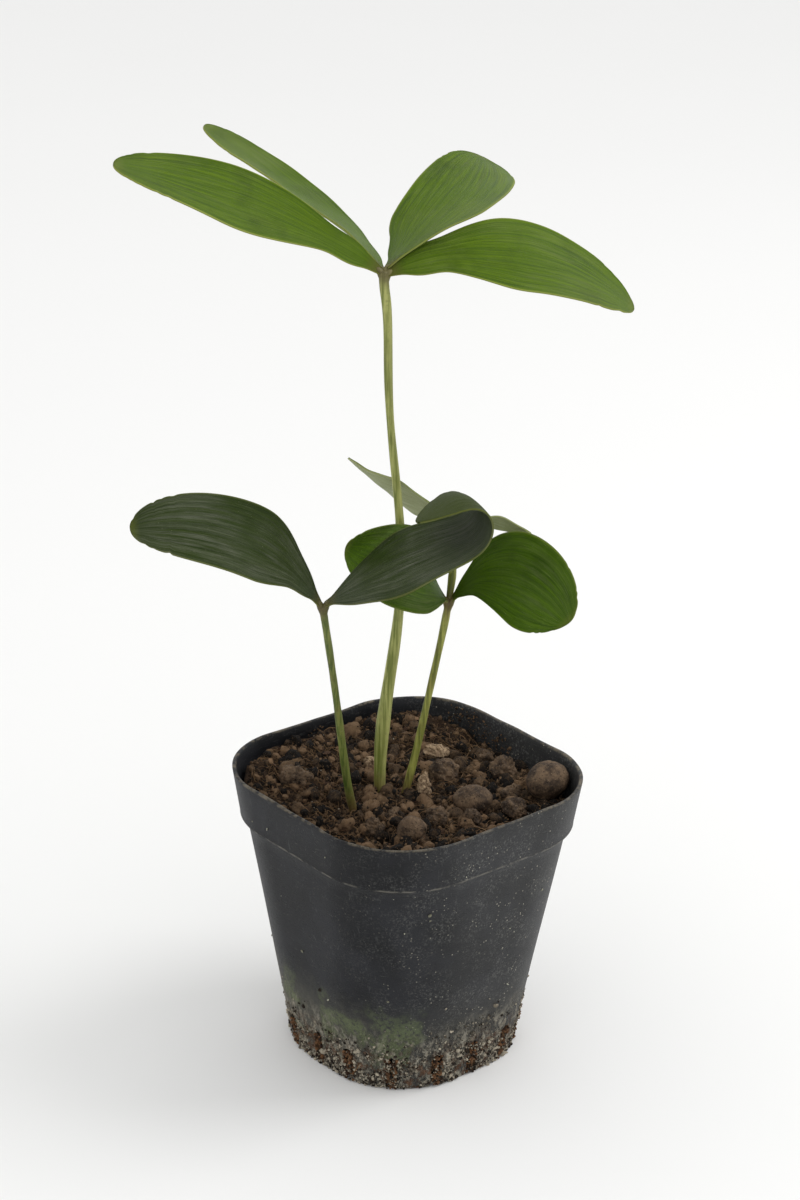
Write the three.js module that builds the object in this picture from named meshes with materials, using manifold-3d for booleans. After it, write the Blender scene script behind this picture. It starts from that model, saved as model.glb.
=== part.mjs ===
// A young cardboard palm (Zamia furfuracea) in a nine-centimetre square nursery pot.
//
// Frame: millimetres, +Z up. The origin is the centre of the pot's flat underside, and X and Y
// run square to the pot's walls. The planting is turned about Z inside the pot.

import * as THREE from 'three';
import { mergeVertices } from 'three/addons/utils/BufferGeometryUtils.js';
import Module from 'manifold-3d';

const wasm = await Module();
wasm.setup();

// ---------------------------------------------------------------- driving dimensions

const GAP = 0.35; // clearance between neighbouring pieces

const POT_HEIGHT = 90;
const RIM_HALF = 45; // half the pot's width over the rim
const RIM_CORNER = 27.5;
const RIM_BAND = 14.4; // height of the band round the top
const BAND_LOWER_HALF = 43.3;
const WALL_TOP_HALF = 42;
const BASE_HALF = 31.7;
const BASE_CORNER = 26;
const BASE_EDGE = 0.9; // rounding of the base's edge
const WALL_TOP_CORNER = 27.1;
const BAND_STEP = 0.6; // height of the step under the band
const WALL = 1.2;
const FLOOR = 1.8;
const LIP = 0.5; // rounding of the lip
const CORNER_STEPS = 8;

const SLOT_COUNT = 16;
const SLOT_WIDTH = 3.6;
const SLOT_HEIGHT = 12;
const SLOT_INNER = 28.6; // radii between which each slot is cut
const SLOT_OUTER = 39;

const SOIL_LEVEL = 79.5; // mean height of the potting mix

const PLANT_TURN = THREE.MathUtils.degToRad(40.2); // planting's turn against the pot's walls
const CAUDEX_AT = new THREE.Vector3(-8, 2.2, 0);
const CROWN = 66; // height of the tuber's top
const CAUDEX_WIDEST = 53; // height of its widest part
const CAUDEX_OUTLINE = [ // radius and height, from the root's end to the crown
  [0, 20], [1.3, 20.5], [2.2, 28], [5.5, 37], [10.5, 46], [12.3, CAUDEX_WIDEST], [11, 59], [8, 63.5],
  [7, CROWN], [0, CROWN],
];
const CAUDEX_SIDES = 16;
const SOCKET_GROW = 1; // how much wider the tuber's socket in the mix is
const SOCKET_STRETCH = 1.15; // and how much taller, as a factor

const LEAF_THICKNESS = 0.8;
const LEAF_STATIONS = 16;
const FOLD_STATIONS = 12; // more stations on a folded leaflet
const LEAF_SUBSTEPS = 4; // steps along the middle line between stations
const LEAF_SECTION = 10;
const FOOT_CURVE = 1.35; // how hollow a blade's outline is towards its foot
const TIP_CURVE = 2.3; // how blunt it is towards its tip
const FOOT_SHARE = 0.045; // least width, as a share of the blade's widest part
const CUP_LEVEL = 0.33; // share of the cupping that is taken off, so that it is level on average
const STEM_SECTION = 10;
const STEM_STEP = 9; // spacing of a stem's rings
const STUB_RADIUS = 0.75;
const STUB_TAPER = 0.8;
const STUB_SIDES = 8;
const FOOT_GAP = 0.8; // from a stem's stub to the middle of a leaflet's foot

// ---------------------------------------------------------------- materials

function material(color, roughness) {
  return new THREE.MeshStandardMaterial({ color, roughness, metalness: 0 });
}

const potPlastic = () => material(0x303234, 0.62);
const peat = () => material(0x4a3526, 0.95);
const clay = () => material(0x8a6248, 0.9);
const bark = () => material(0xb39e84, 0.9);
const tuberSkin = () => material(0x6b4e36, 0.85);
const stemGreen = () => material(0x98a05c, 0.55);
const leafGreen = () => material(0x3f6a1c, 0.45);

// ---------------------------------------------------------------- lofted and cut solids

/** Closes a row of equal-length rings into one solid, with a point in the middle of each end. */
function loft(rings) {
  const count = rings[0].length;
  const middle = (ring) => ring.reduce((sum, p) => sum.add(p), new THREE.Vector3()).divideScalar(count);
  const points = [...rings.flat(), middle(rings[0]), middle(rings.at(-1))];
  const first = rings.length * count;
  const faces = [];
  for (let i = 0; i < count; i++) {
    const j = (i + 1) % count;
    faces.push(first, j, i);
    for (let k = 0; k < rings.length - 1; k++) {
      const a = k * count;
      const b = a + count;
      faces.push(a + i, a + j, b + j, a + i, b + j, b + i);
    }
    const last = (rings.length - 1) * count;
    faces.push(first + 1, last + i, last + j);
  }
  const geometry = new THREE.BufferGeometry().setFromPoints(points);
  geometry.setIndex(faces);
  if (signedVolume(geometry) < 0) geometry.index.array.reverse();
  geometry.computeVertexNormals();
  return geometry;
}

function signedVolume(geometry) {
  const corner = [0, 1, 2].map(() => new THREE.Vector3());
  const { index, attributes } = geometry;
  let volume = 0;
  for (let i = 0; i < index.count; i += 3) {
    corner.forEach((p, k) => p.fromBufferAttribute(attributes.position, index.getX(i + k)));
    volume += corner[0].dot(corner[1].cross(corner[2])) / 6;
  }
  return volume;
}

function solidOf(geometry, matrix = new THREE.Matrix4()) {
  const plain = geometry.clone().applyMatrix4(matrix);
  plain.deleteAttribute('normal');
  plain.deleteAttribute('uv');
  const merged = mergeVertices(plain, 1e-4);
  const mesh = new wasm.Mesh({
    numProp: 3,
    vertProperties: new Float32Array(merged.attributes.position.array),
    triVerts: new Uint32Array(merged.index.array),
  });
  return new wasm.Manifold(mesh);
}

function geometryOf(solid) {
  const { vertProperties, triVerts } = solid.getMesh();
  const geometry = new THREE.BufferGeometry();
  geometry.setAttribute('position', new THREE.BufferAttribute(vertProperties, 3));
  geometry.setIndex(new THREE.BufferAttribute(triVerts, 1));
  geometry.computeVertexNormals();
  return geometry;
}

function named(name, geometry, look) {
  const mesh = new THREE.Mesh(geometry, look);
  mesh.name = name;
  return mesh;
}

const smooth = (a, b, x) => THREE.MathUtils.smoothstep(x, a, b);

// ---------------------------------------------------------------- nursery pot

/** One level ring of a square with round corners. */
function squareRing(half, corner, z) {
  const ring = [];
  for (let quarter = 0; quarter < 4; quarter++) {
    const diagonal = (quarter + 0.5) * (Math.PI / 2);
    const reach = (half - corner) * Math.SQRT2;
    for (let step = 0; step <= CORNER_STEPS; step++) {
      const angle = (quarter + step / CORNER_STEPS) * (Math.PI / 2);
      ring.push(new THREE.Vector3(
        reach * Math.cos(diagonal) + corner * Math.cos(angle),
        reach * Math.sin(diagonal) + corner * Math.sin(angle),
        z,
      ));
    }
  }
  return ring;
}

const BAND_BOTTOM = POT_HEIGHT - RIM_BAND;
const WALL_RUN = BAND_BOTTOM - BAND_STEP;

/** Half-width and corner radius of the tapered wall's outer face at a height. */
function wallAt(z) {
  const up = z / WALL_RUN;
  return [
    THREE.MathUtils.lerp(BASE_HALF, WALL_TOP_HALF, up),
    THREE.MathUtils.lerp(BASE_CORNER, WALL_TOP_CORNER, up),
  ];
}

/** The same for the inside of the pot, band included. */
function insideAt(z) {
  if (z <= WALL_RUN) return wallAt(z).map((size) => size - WALL);
  const up = (z - BAND_BOTTOM) / RIM_BAND;
  const half = THREE.MathUtils.lerp(BAND_LOWER_HALF, RIM_HALF, Math.max(up, 0)) - WALL;
  return [half, RIM_CORNER - WALL];
}

function archCutter() {
  const half = SLOT_WIDTH / 2;
  const arch = new THREE.Shape();
  arch.moveTo(-half, -2);
  arch.lineTo(half, -2);
  arch.lineTo(half, SLOT_HEIGHT - half);
  arch.absarc(0, SLOT_HEIGHT - half, half, 0, Math.PI, false);
  arch.closePath();
  const cutter = new THREE.ExtrudeGeometry(arch, {
    depth: SLOT_OUTER - SLOT_INNER,
    bevelEnabled: false,
    curveSegments: 4,
  });
  cutter.rotateX(Math.PI / 2);
  cutter.translate(0, -SLOT_INNER, 0);
  return cutter;
}

function nurseryPot() {
  const [halfLow, cornerLow] = wallAt(1);
  const [halfTop, cornerTop] = wallAt(WALL_RUN);
  const [halfIn, cornerIn] = insideAt(FLOOR + 1);
  const shell = loft([
    squareRing(BASE_HALF - BASE_EDGE, BASE_CORNER - BASE_EDGE, 0),
    squareRing(halfLow, cornerLow, 1),
    squareRing(halfTop, cornerTop, WALL_RUN),
    squareRing(BAND_LOWER_HALF, RIM_CORNER, BAND_BOTTOM),
    squareRing(RIM_HALF, RIM_CORNER, POT_HEIGHT - LIP),
    squareRing(RIM_HALF - LIP / 2, RIM_CORNER - LIP / 2, POT_HEIGHT),
    squareRing(RIM_HALF - WALL + LIP / 2, RIM_CORNER - WALL + LIP / 2, POT_HEIGHT),
    squareRing(RIM_HALF - WALL, RIM_CORNER - WALL, POT_HEIGHT - LIP),
    squareRing(BAND_LOWER_HALF - WALL, RIM_CORNER - WALL, BAND_BOTTOM),
    squareRing(halfTop - WALL, cornerTop - WALL, WALL_RUN - BAND_STEP),
    squareRing(halfIn, cornerIn, FLOOR + 1),
    squareRing(halfIn - 1, cornerIn - 1, FLOOR),
  ]);
  let pot = solidOf(shell);
  const cutter = archCutter();
  for (let slot = 0; slot < SLOT_COUNT; slot++) {
    const turn = new THREE.Matrix4().makeRotationZ((slot / SLOT_COUNT) * 2 * Math.PI);
    pot = pot.subtract(solidOf(cutter, turn));
  }
  return named('nursery_pot', geometryOf(pot), potPlastic());
}

// ---------------------------------------------------------------- leaf stems

// Each stem rises from the tuber as one stalk. Its path and radii are listed from the crown up.
const STEMS = [
  {
    name: 'petiole_tall',
    path: [[-8, 4.2, 66.7], [-8.5, 4.2, 78], [-7.3, 4.2, 100], [-4.9, 4.2, 127], [-2.5, 4.2, 155],
      [-3.7, 4.2, 171], [-6.1, 4.2, 186], [-7.4, 4.2, 214], [-8.9, 4.4, 241]],
    radius: [1.5, 1.7, 2.1, 1.6, 1.3, 1.3, 1.05, 1.2, 1.45],
  },
  {
    name: 'petiole_left',
    path: [[-11.6, -0.9, 66.9], [-12.6, -2.2, 70], [-15.5, -5.5, 77], [-19, -9, 100], [-21.4, -12.4, 121.6],
      [-25, -17.4, 149.6]],
    radius: [1.15, 1.2, 1.3, 1.2, 1.0, 1.1],
  },
  {
    name: 'petiole_right',
    path: [[-4.4, 3.4, 66.7], [-1.2, 4.4, 77], [2.6, 4.5, 94], [6.4, 4.5, 114.5], [10.6, 4.4, 139],
      [12.1, 4.6, 153], [13, 5, 165.8]],
    radius: [1.1, 1.2, 1.15, 1.0, 1.1, 0.8, 0.75],
  },
];

const vector = (numbers) => new THREE.Vector3(...numbers);

/** A round stalk along a path whose radius changes from point to point. */
function stalk(path, radii, grow, steps) {
  const curve = new THREE.CatmullRomCurve3(path.map(vector));
  const frames = curve.computeFrenetFrames(steps, false);
  const rings = [];
  for (let i = 0; i <= steps; i++) {
    const centre = curve.getPointAt(i / steps);
    const along = curve.getUtoTmapping(i / steps) * (radii.length - 1);
    const before = Math.min(Math.floor(along), radii.length - 2);
    const radius = THREE.MathUtils.lerp(radii[before], radii[before + 1], along - before) + grow;
    const ring = [];
    for (let k = 0; k < STEM_SECTION; k++) {
      const angle = (k / STEM_SECTION) * 2 * Math.PI;
      const out = frames.normals[i].clone().multiplyScalar(Math.cos(angle) * radius);
      out.addScaledVector(frames.binormals[i], Math.sin(angle) * radius);
      ring.push(centre.clone().add(out));
    }
    rings.push(ring);
  }
  return loft(rings);
}

function stemSteps(stem) {
  return Math.round(vector(stem.path.at(-1)).distanceTo(vector(stem.path[0])) / STEM_STEP);
}

/** A short round peg from a stem towards a leaflet's foot. */
function stub(from, to) {
  const along = to.clone().sub(from);
  const tip = STUB_RADIUS * STUB_TAPER;
  const peg = new THREE.CylinderGeometry(tip, STUB_RADIUS, along.length(), STUB_SIDES);
  peg.rotateX(Math.PI / 2);
  peg.translate(0, 0, along.length() / 2);
  const turn = new THREE.Quaternion().setFromUnitVectors(new THREE.Vector3(0, 0, 1), along.normalize());
  peg.applyQuaternion(turn);
  peg.translate(from.x, from.y, from.z);
  return peg;
}

function leafStem(stem) {
  let solid = solidOf(stalk(stem.path, stem.radius, 0, stemSteps(stem)));
  for (const leaflet of LEAFLETS.filter((each) => each.stem === stem.name)) {
    const foot = vector(leaflet.base);
    const start = directionAt(leaflet, 0).along;
    const from = vector(leaflet.node);
    solid = solid.add(solidOf(stub(from, foot.addScaledVector(start, -FOOT_GAP))));
  }
  return named(stem.name, geometryOf(solid), stemGreen());
}

// ---------------------------------------------------------------- leaflets

// Each leaflet is a leathery blade that leaves its stem at `base`. Angles are in degrees:
// `heading` is its compass direction, `rise` its climb at the foot and at the tip, `roll` its
// sideways tilt at the foot and at the tip. A `fold` turns the tip back over the blade.
const LEAFLETS = [
  {
    name: 'leaflet_tall_left_front', stem: 'petiole_tall', node: [-8.9, 4.3, 240.2],
    base: [-12, 4, 243.2], length: 77.5, heading: 180, sweep: 13, rise: [31, 13],
    width: 26.3, widest: 0.6, roll: [37, 13], cup: 1,
  },
  {
    name: 'leaflet_tall_left_back', stem: 'petiole_tall', node: [-8.9, 4.5, 240.4],
    base: [-10.3, 7.7, 243.2], length: 75, heading: 119, sweep: 42, rise: [13, 29],
    width: 25.5, widest: 0.42, roll: [-40, -2], cup: 1.5,
  },
  {
    name: 'leaflet_tall_right_back', stem: 'petiole_tall', node: [-8.9, 4.5, 240.4],
    base: [-6.9, 7.5, 243.6], length: 71, heading: 49, sweep: 38, rise: [24, -1],
    width: 30.5, widest: 0.32, roll: [30, -22], cup: 0.9,
  },
  {
    name: 'leaflet_tall_right_front', stem: 'petiole_tall', node: [-8.9, 4.3, 240.2],
    base: [-5.7, 4, 242.8], length: 73, heading: 10, sweep: 1, rise: [17, -41],
    width: 28, widest: 0.55, roll: [-42, -17], cup: 1,
  },
  {
    name: 'leaflet_left_outer', stem: 'petiole_left', node: [-24.9, -17.3, 148.9],
    base: [-27.4, -17.2, 151.6], length: 62.5, heading: 212, sweep: -30, rise: [62, -11],
    width: 22, widest: 0.42, roll: [52, 52], cup: 1.2,
  },
  {
    name: 'leaflet_left_folded', stem: 'petiole_left', node: [-24.9, -17.3, 148.9],
    base: [-22.4, -18.2, 151.6], length: 74, heading: -17, sweep: 49, rise: [35, 10],
    width: 30, widest: 0.36, roll: [-33, 20], cup: 1,
    fold: { turn: 191, from: 0.54, to: 0.89 },
  },
  {
    name: 'leaflet_right_outer', stem: 'petiole_right', node: [11.2, 4.4, 142.6],
    base: [13.4, 3, 144.6], length: 50, heading: -45, sweep: 0, rise: [55, -41],
    width: 27.5, widest: 0.64, roll: [-66, -84], cup: 1.3,
  },
  {
    name: 'leaflet_right_inner', stem: 'petiole_right', node: [10.9, 4.4, 142.4],
    base: [9.4, 2.2, 144.8], length: 37, heading: 222, sweep: -36, rise: [47, 17],
    width: 25, widest: 0.3, roll: [25, 105], cup: 1.3,
  },
  {
    name: 'leaflet_right_upper_left', stem: 'petiole_right', node: [13, 5, 165],
    base: [10.2, 6.4, 168.6], length: 35.5, heading: 151, sweep: -2, rise: [2, 32],
    width: 22, widest: 0.48, roll: [-54, -33], cup: 0.5,
  },
  {
    name: 'leaflet_right_upper_right', stem: 'petiole_right', node: [13, 5, 165],
    base: [15.8, 4.6, 167.9], length: 20.5, heading: -7, sweep: -5, rise: [4, -31],
    width: 17, widest: 0.5, roll: [35, 33], cup: 0.6,
  },
];

/** The blade's own axes at a share of its length: along it, across it and out of its face. */
function directionAt(leaflet, share) {
  const degrees = (value) => THREE.MathUtils.degToRad(value);
  const lerp = THREE.MathUtils.lerp;
  const rise = degrees(lerp(...leaflet.rise, share));
  const heading = degrees(leaflet.heading + leaflet.sweep * share);
  const roll = degrees(lerp(...leaflet.roll, share));
  const along = new THREE.Vector3(
    Math.cos(rise) * Math.cos(heading),
    Math.cos(rise) * Math.sin(heading),
    Math.sin(rise),
  );
  const across = new THREE.Vector3(Math.sin(heading), -Math.cos(heading), 0).applyAxisAngle(along, -roll);
  const face = across.clone().cross(along);
  if (leaflet.fold) {
    const { turn, from, to } = leaflet.fold;
    const hinge = across.clone();
    const angle = degrees(turn) * smooth(from, to, share);
    [along, across, face].forEach((axis) => axis.applyAxisAngle(hinge, angle));
  }
  return { along, across, face };
}

/** Half-width of a blade: narrow at the foot, widest part-way up and round at the tip. */
function halfWidth(leaflet, share) {
  const { width, widest } = leaflet;
  const wide = share < widest
    ? Math.sin((Math.PI / 2) * (share / widest)) ** FOOT_CURVE
    : Math.sqrt(Math.max(0, 1 - ((share - widest) / (1 - widest)) ** TIP_CURVE));
  return (width / 2) * Math.max(wide, FOOT_SHARE);
}

function blade(leaflet) {
  const centre = vector(leaflet.base);
  const stations = leaflet.fold ? LEAF_STATIONS + FOLD_STATIONS : LEAF_STATIONS;
  const rings = [];
  for (let i = 0; i <= stations; i++) {
    const share = i / stations;
    const half = halfWidth(leaflet, share);
    const { across, face } = directionAt(leaflet, share);
    const ring = [];
    for (let k = 0; k < LEAF_SECTION; k++) {
      const angle = (k / LEAF_SECTION) * 2 * Math.PI;
      const side = Math.cos(angle);
      const trough = (side * side - CUP_LEVEL) * leaflet.cup * (2 * half / leaflet.width);
      const lift = trough + Math.sin(angle) * (LEAF_THICKNESS / 2);
      ring.push(centre.clone().addScaledVector(across, side * half).addScaledVector(face, lift));
    }
    rings.push(ring);
    for (let step = 0; step < LEAF_SUBSTEPS; step++) {
      const middle = (i + (step + 0.5) / LEAF_SUBSTEPS) / stations;
      const stride = leaflet.length / stations / LEAF_SUBSTEPS;
      centre.addScaledVector(directionAt(leaflet, middle).along, stride);
    }
  }
  return named(leaflet.name, loft(rings), leafGreen());
}

// ---------------------------------------------------------------- tuber

/** The tuber's turned form, made wider by `grow` and taller by the factor `stretch`. */
function tuberForm(grow, stretch) {
  const outline = CAUDEX_OUTLINE.map(([x, z]) => {
    const radius = x > 0 ? x + grow : 0;
    return new THREE.Vector2(radius, CAUDEX_WIDEST + (z - CAUDEX_WIDEST) * stretch);
  });
  const lathe = new THREE.LatheGeometry(outline, CAUDEX_SIDES);
  lathe.rotateX(Math.PI / 2);
  lathe.translate(CAUDEX_AT.x, CAUDEX_AT.y, 0);
  return solidOf(lathe);
}

function caudex() {
  return named('caudex', geometryOf(tuberForm(0, 1)), tuberSkin());
}

// ---------------------------------------------------------------- pebbles and bark

const FINE_LUMP = 10; // stones longer than this are modelled more finely
const LUMP_TRIM = 0.93; // keeps the swelling inside a stone's stated size
const LUMP_CLEARANCE = 1.25; // a dent's flat facets need more than the gap itself

// Loose pieces on the potting mix: place in the pot, size along X, Y and Z, and turn about Z.
const LOOSE = [
  { name: 'clay_pebble_rim', look: clay, at: [34.4, -24.4], size: [15, 12.6, 12], turn: 20, lift: 5.2 },
  { name: 'clay_pebble_long', look: clay, at: [12.4, -15.6], size: [13, 10, 9], turn: -35, lift: 1.4 },
  { name: 'clay_pebble_low', look: clay, at: [5.6, -23.4], size: [5.6, 6, 5.4], turn: 0, lift: 1 },
  { name: 'clay_pebble_front', look: clay, at: [-12.7, -18], size: [9.6, 9, 8.6], turn: 10, lift: 2 },
  { name: 'clay_pebble_pale', look: clay, at: [-0.6, -15.2], size: [6.6, 7, 6.4], turn: 30, lift: 1.4 },
  { name: 'clay_pebble_edge', look: clay, at: [18.6, -27], size: [8, 7.6, 6.6], turn: 55, lift: 1.2 },
  { name: 'clay_pebble_side', look: clay, at: [26.6, -17.4], size: [8, 7, 5.6], turn: -20, lift: 0.4 },
  { name: 'clay_pebble_dark', look: clay, at: [32.6, -6.6], size: [9.6, 9, 9], turn: 40, lift: 1.8 },
  { name: 'clay_pebble_far', look: clay, at: [36, 5.4], size: [6.4, 6, 5.6], turn: 0, lift: 0.8 },
  { name: 'clay_pebble_broad', look: clay, at: [18.8, 5.4], size: [10.4, 9, 8], turn: 15, lift: 1.6 },
  { name: 'clay_pebble_left', look: clay, at: [-23, 24.5], size: [10, 8, 7.4], turn: -50, lift: 0.6 },
  { name: 'clay_pebble_small', look: clay, at: [-8, -4.4], size: [6, 5, 4.6], turn: 25, lift: 0.8 },
  { name: 'clay_pebble_dusty', look: clay, at: [-16.4, -5.4], size: [6.4, 5.6, 5.6], turn: 70, lift: 0.8 },
  { name: 'bark_chip_flat', look: bark, at: [25, 17], size: [10.5, 7, 4.4], turn: -40, lift: 0.9 },
  { name: 'bark_chip_upright', look: bark, at: [4.4, -2.6], size: [4.6, 4.2, 9.6], turn: 10, lift: 3.2 },
  { name: 'bark_chip_small', look: bark, at: [3.6, 21], size: [6.4, 4.6, 3.8], turn: 15, lift: 0.6 },
];

/** Height of the potting mix: banked against the +Y wall, with a hollow near the -X wall. */
function soilHeight(x, y) {
  const bank = 6.2 * smooth(8, 38, y);
  const hollow = 5.5 * Math.exp(-((x + 27) ** 2 + (y + 8) ** 2) / 170);
  const lumps = 0.8 * Math.sin(0.31 * x + 1.2) * Math.cos(0.27 * y + 0.5) + 0.4 * Math.sin(0.7 * x + 0.4 * y);
  return SOIL_LEVEL + bank - hollow + lumps;
}

/** A worn, slightly lumpy stone: a round form whose surface swells and dips a little. */
function lump(size, seed, grow) {
  const geometry = new THREE.IcosahedronGeometry(1, Math.max(...size) > FINE_LUMP ? 2 : 1);
  geometry.deleteAttribute('normal');
  geometry.deleteAttribute('uv');
  const round = mergeVertices(geometry, 1e-4);
  const place = round.attributes.position;
  const point = new THREE.Vector3();
  const half = vector(size).multiplyScalar(0.5);
  for (let i = 0; i < place.count; i++) {
    point.fromBufferAttribute(place, i);
    const swell = 1 + 0.05 * Math.sin(3.1 * point.x + seed) + 0.05 * Math.sin(2.7 * point.y - 1.7 * seed)
      + 0.04 * Math.sin(3.7 * point.z + 0.6 * seed);
    const out = point.clone().multiplyScalar(grow * LUMP_CLEARANCE);
    point.multiply(half).multiplyScalar(swell * LUMP_TRIM).add(out);
    place.setXYZ(i, point.x, point.y, point.z);
  }
  round.computeVertexNormals();
  return round;
}

function placeLoose(mesh, piece) {
  const [x, y] = piece.at;
  mesh.position.set(x, y, soilHeight(x, y) + piece.lift);
  mesh.rotation.z = THREE.MathUtils.degToRad(piece.turn);
  mesh.updateMatrix();
  return mesh;
}

// ---------------------------------------------------------------- potting mix

function pottingMix() {
  const rings = [];
  for (const z of [FLOOR + GAP, FLOOR + 1 + GAP, WALL_RUN - 1.6]) {
    const [half, corner] = insideAt(Math.max(z, FLOOR + 1));
    const tuck = z < FLOOR + 1 ? 1 : 0;
    rings.push(squareRing(half - GAP - tuck, corner - GAP - tuck, z));
  }
  const [half, corner] = insideAt(WALL_RUN);
  for (const share of [1, 0.86, 0.7, 0.53, 0.36, 0.18]) {
    const ring = squareRing((half - GAP - 0.2) * share, (corner - GAP) * share, 0);
    rings.push(ring.map((p) => p.setZ(soilHeight(p.x, p.y))));
  }
  let mix = solidOf(loft(rings));
  const turn = new THREE.Matrix4().makeRotationZ(-PLANT_TURN);
  mix = mix.subtract(solidOf(geometryOf(tuberForm(SOCKET_GROW, SOCKET_STRETCH)), turn));
  for (const stem of STEMS) {
    mix = mix.subtract(solidOf(stalk(stem.path, stem.radius, GAP, stemSteps(stem)), turn));
  }
  LOOSE.forEach((piece, seed) => {
    const dent = placeLoose(new THREE.Mesh(lump(piece.size, seed, GAP)), piece);
    mix = mix.subtract(solidOf(dent.geometry, dent.matrix));
  });
  return named('potting_mix', geometryOf(mix), peat());
}

// ---------------------------------------------------------------- assembly

const plant = new THREE.Group();
plant.rotation.z = -PLANT_TURN;
plant.add(caudex(), ...STEMS.map(leafStem), ...LEAFLETS.map(blade));

const pottedPalm = new THREE.Group();
pottedPalm.add(nurseryPot(), pottingMix(), plant);
LOOSE.forEach((piece, seed) => {
  pottedPalm.add(placeLoose(named(piece.name, lump(piece.size, seed, 0), piece.look()), piece));
});

export default pottedPalm;
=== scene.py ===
# %% [markdown]
# # A young cardboard palm in a nursery pot
# The plant has three leaf stems with broad, leathery leaflets, and it grows in a square black
# nursery pot filled with peat, bark and clay pebbles. The construction model gives every size
# and place. This script gives the surfaces: it reads the model, rebuilds each natural piece
# finely on it, and mixes a finish for each material.

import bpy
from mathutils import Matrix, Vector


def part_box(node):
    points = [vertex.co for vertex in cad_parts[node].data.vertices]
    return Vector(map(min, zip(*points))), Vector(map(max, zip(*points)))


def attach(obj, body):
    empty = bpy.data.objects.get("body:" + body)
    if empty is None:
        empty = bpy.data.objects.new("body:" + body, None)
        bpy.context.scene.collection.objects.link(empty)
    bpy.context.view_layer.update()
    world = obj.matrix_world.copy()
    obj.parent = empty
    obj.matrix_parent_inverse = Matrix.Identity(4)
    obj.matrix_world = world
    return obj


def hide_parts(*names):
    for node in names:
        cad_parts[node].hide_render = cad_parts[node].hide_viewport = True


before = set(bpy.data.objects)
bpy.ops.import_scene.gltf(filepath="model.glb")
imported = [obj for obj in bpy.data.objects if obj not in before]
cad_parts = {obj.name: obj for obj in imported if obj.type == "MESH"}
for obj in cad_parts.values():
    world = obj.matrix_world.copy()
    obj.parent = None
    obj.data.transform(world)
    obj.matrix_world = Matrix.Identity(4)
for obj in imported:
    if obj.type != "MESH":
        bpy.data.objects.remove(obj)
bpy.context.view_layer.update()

# %% [markdown]
# Python's own tools and numpy do the arithmetic. One seeded generator makes every random
# choice, so the plant comes out the same each time.

# %% Tools and units
from math import cos, pi, radians, sin, sqrt

import bpy
import numpy as np
from mathutils import Matrix, Vector, noise
from mathutils.bvhtree import BVHTree
from mathutils.kdtree import KDTree

MM = 0.001
chance = np.random.default_rng(41)
print("units: metres, one millimetre is", MM)

# %% [markdown]
# The construction model's triangles come in unjoined, three corners each. Most pieces below
# need to know which corners are shared, so this helper joins them again.

# %% Join a node's corners


def welded(node):
    """The corners of a construction node, each once, and its triangles as rows of three."""
    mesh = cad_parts[node].data
    corners = np.empty(len(mesh.vertices) * 3)
    mesh.vertices.foreach_get("co", corners)
    triangles = np.empty(len(mesh.polygons) * 3, dtype=np.int64)
    mesh.polygons.foreach_get("vertices", triangles)
    corners = corners.reshape(-1, 3)
    _, first, index = np.unique(corners.round(6), axis=0, return_index=True, return_inverse=True)
    return corners[first], index.reshape(-1)[triangles].reshape(-1, 3)


pot_high = np.array(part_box("nursery_pot")[1])
POT_HEIGHT = pot_high[2]
RIM_HALF = pot_high[0]
print("pot", round(RIM_HALF * 2 / MM), "mm wide and", round(POT_HEIGHT / MM), "mm tall")

# %% [markdown]
# ## Building blocks
# Nearly every piece here is a row of rings joined into a skin: the pot, the stems, the blades
# and the filling. A loft does that for any rings. It closes both ends with a fan and turns the
# faces outwards, so each piece is a sound closed shape.

# %% Loft rings into a closed skin


def unit(rows):
    return rows / np.linalg.norm(rows, axis=-1, keepdims=True)


def loft(rings):
    """Points and faces of a closed skin over rings, an array (ring, place, xyz)."""
    count, around = rings.shape[:2]
    points = np.vstack([rings.reshape(-1, 3), rings[0].mean(axis=0), rings[-1].mean(axis=0)])
    row = np.arange(around)
    after = np.roll(row, -1)
    faces = []
    for k in range(count - 1):
        a = k * around
        b = a + around
        faces += np.stack([a + row, a + after, b + after, b + row], axis=1).tolist()
    last = (count - 1) * around
    faces += np.stack([np.full(around, count * around), after, row], axis=1).tolist()
    faces += np.stack([np.full(around, count * around + 1), last + row, last + after], axis=1).tolist()
    first = points[[face[0] for face in faces]]
    second = points[[face[1] for face in faces]]
    third = points[[face[2] for face in faces]]
    if np.einsum("ij,ij->i", first, np.cross(second, third)).sum() < 0:
        faces = [face[::-1] for face in faces]
    return points, faces


def make_piece(name, points, faces, finish, stands_for=()):
    """A smooth mesh that belongs to the object, with its finish, and what it stands for."""
    mesh = bpy.data.meshes.new(name)
    mesh.from_pydata(np.asarray(points).tolist(), [], faces)
    mesh.polygons.foreach_set("use_smooth", np.ones(len(mesh.polygons), dtype=bool))
    mesh.update()
    mesh.materials.append(finish)
    made = bpy.data.objects.new(name, mesh)
    bpy.context.collection.objects.link(made)
    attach(made, "root")
    if stands_for:
        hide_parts(*stands_for)
    return made


print("loft and piece helpers ready")

# %% [markdown]
# Shader maths reads best as plain sums. A Shade wraps one output socket, and + - * / on it add
# Math nodes. A Finish is one material in the making: its node method adds any other node.

# %% Shader arithmetic


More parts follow.
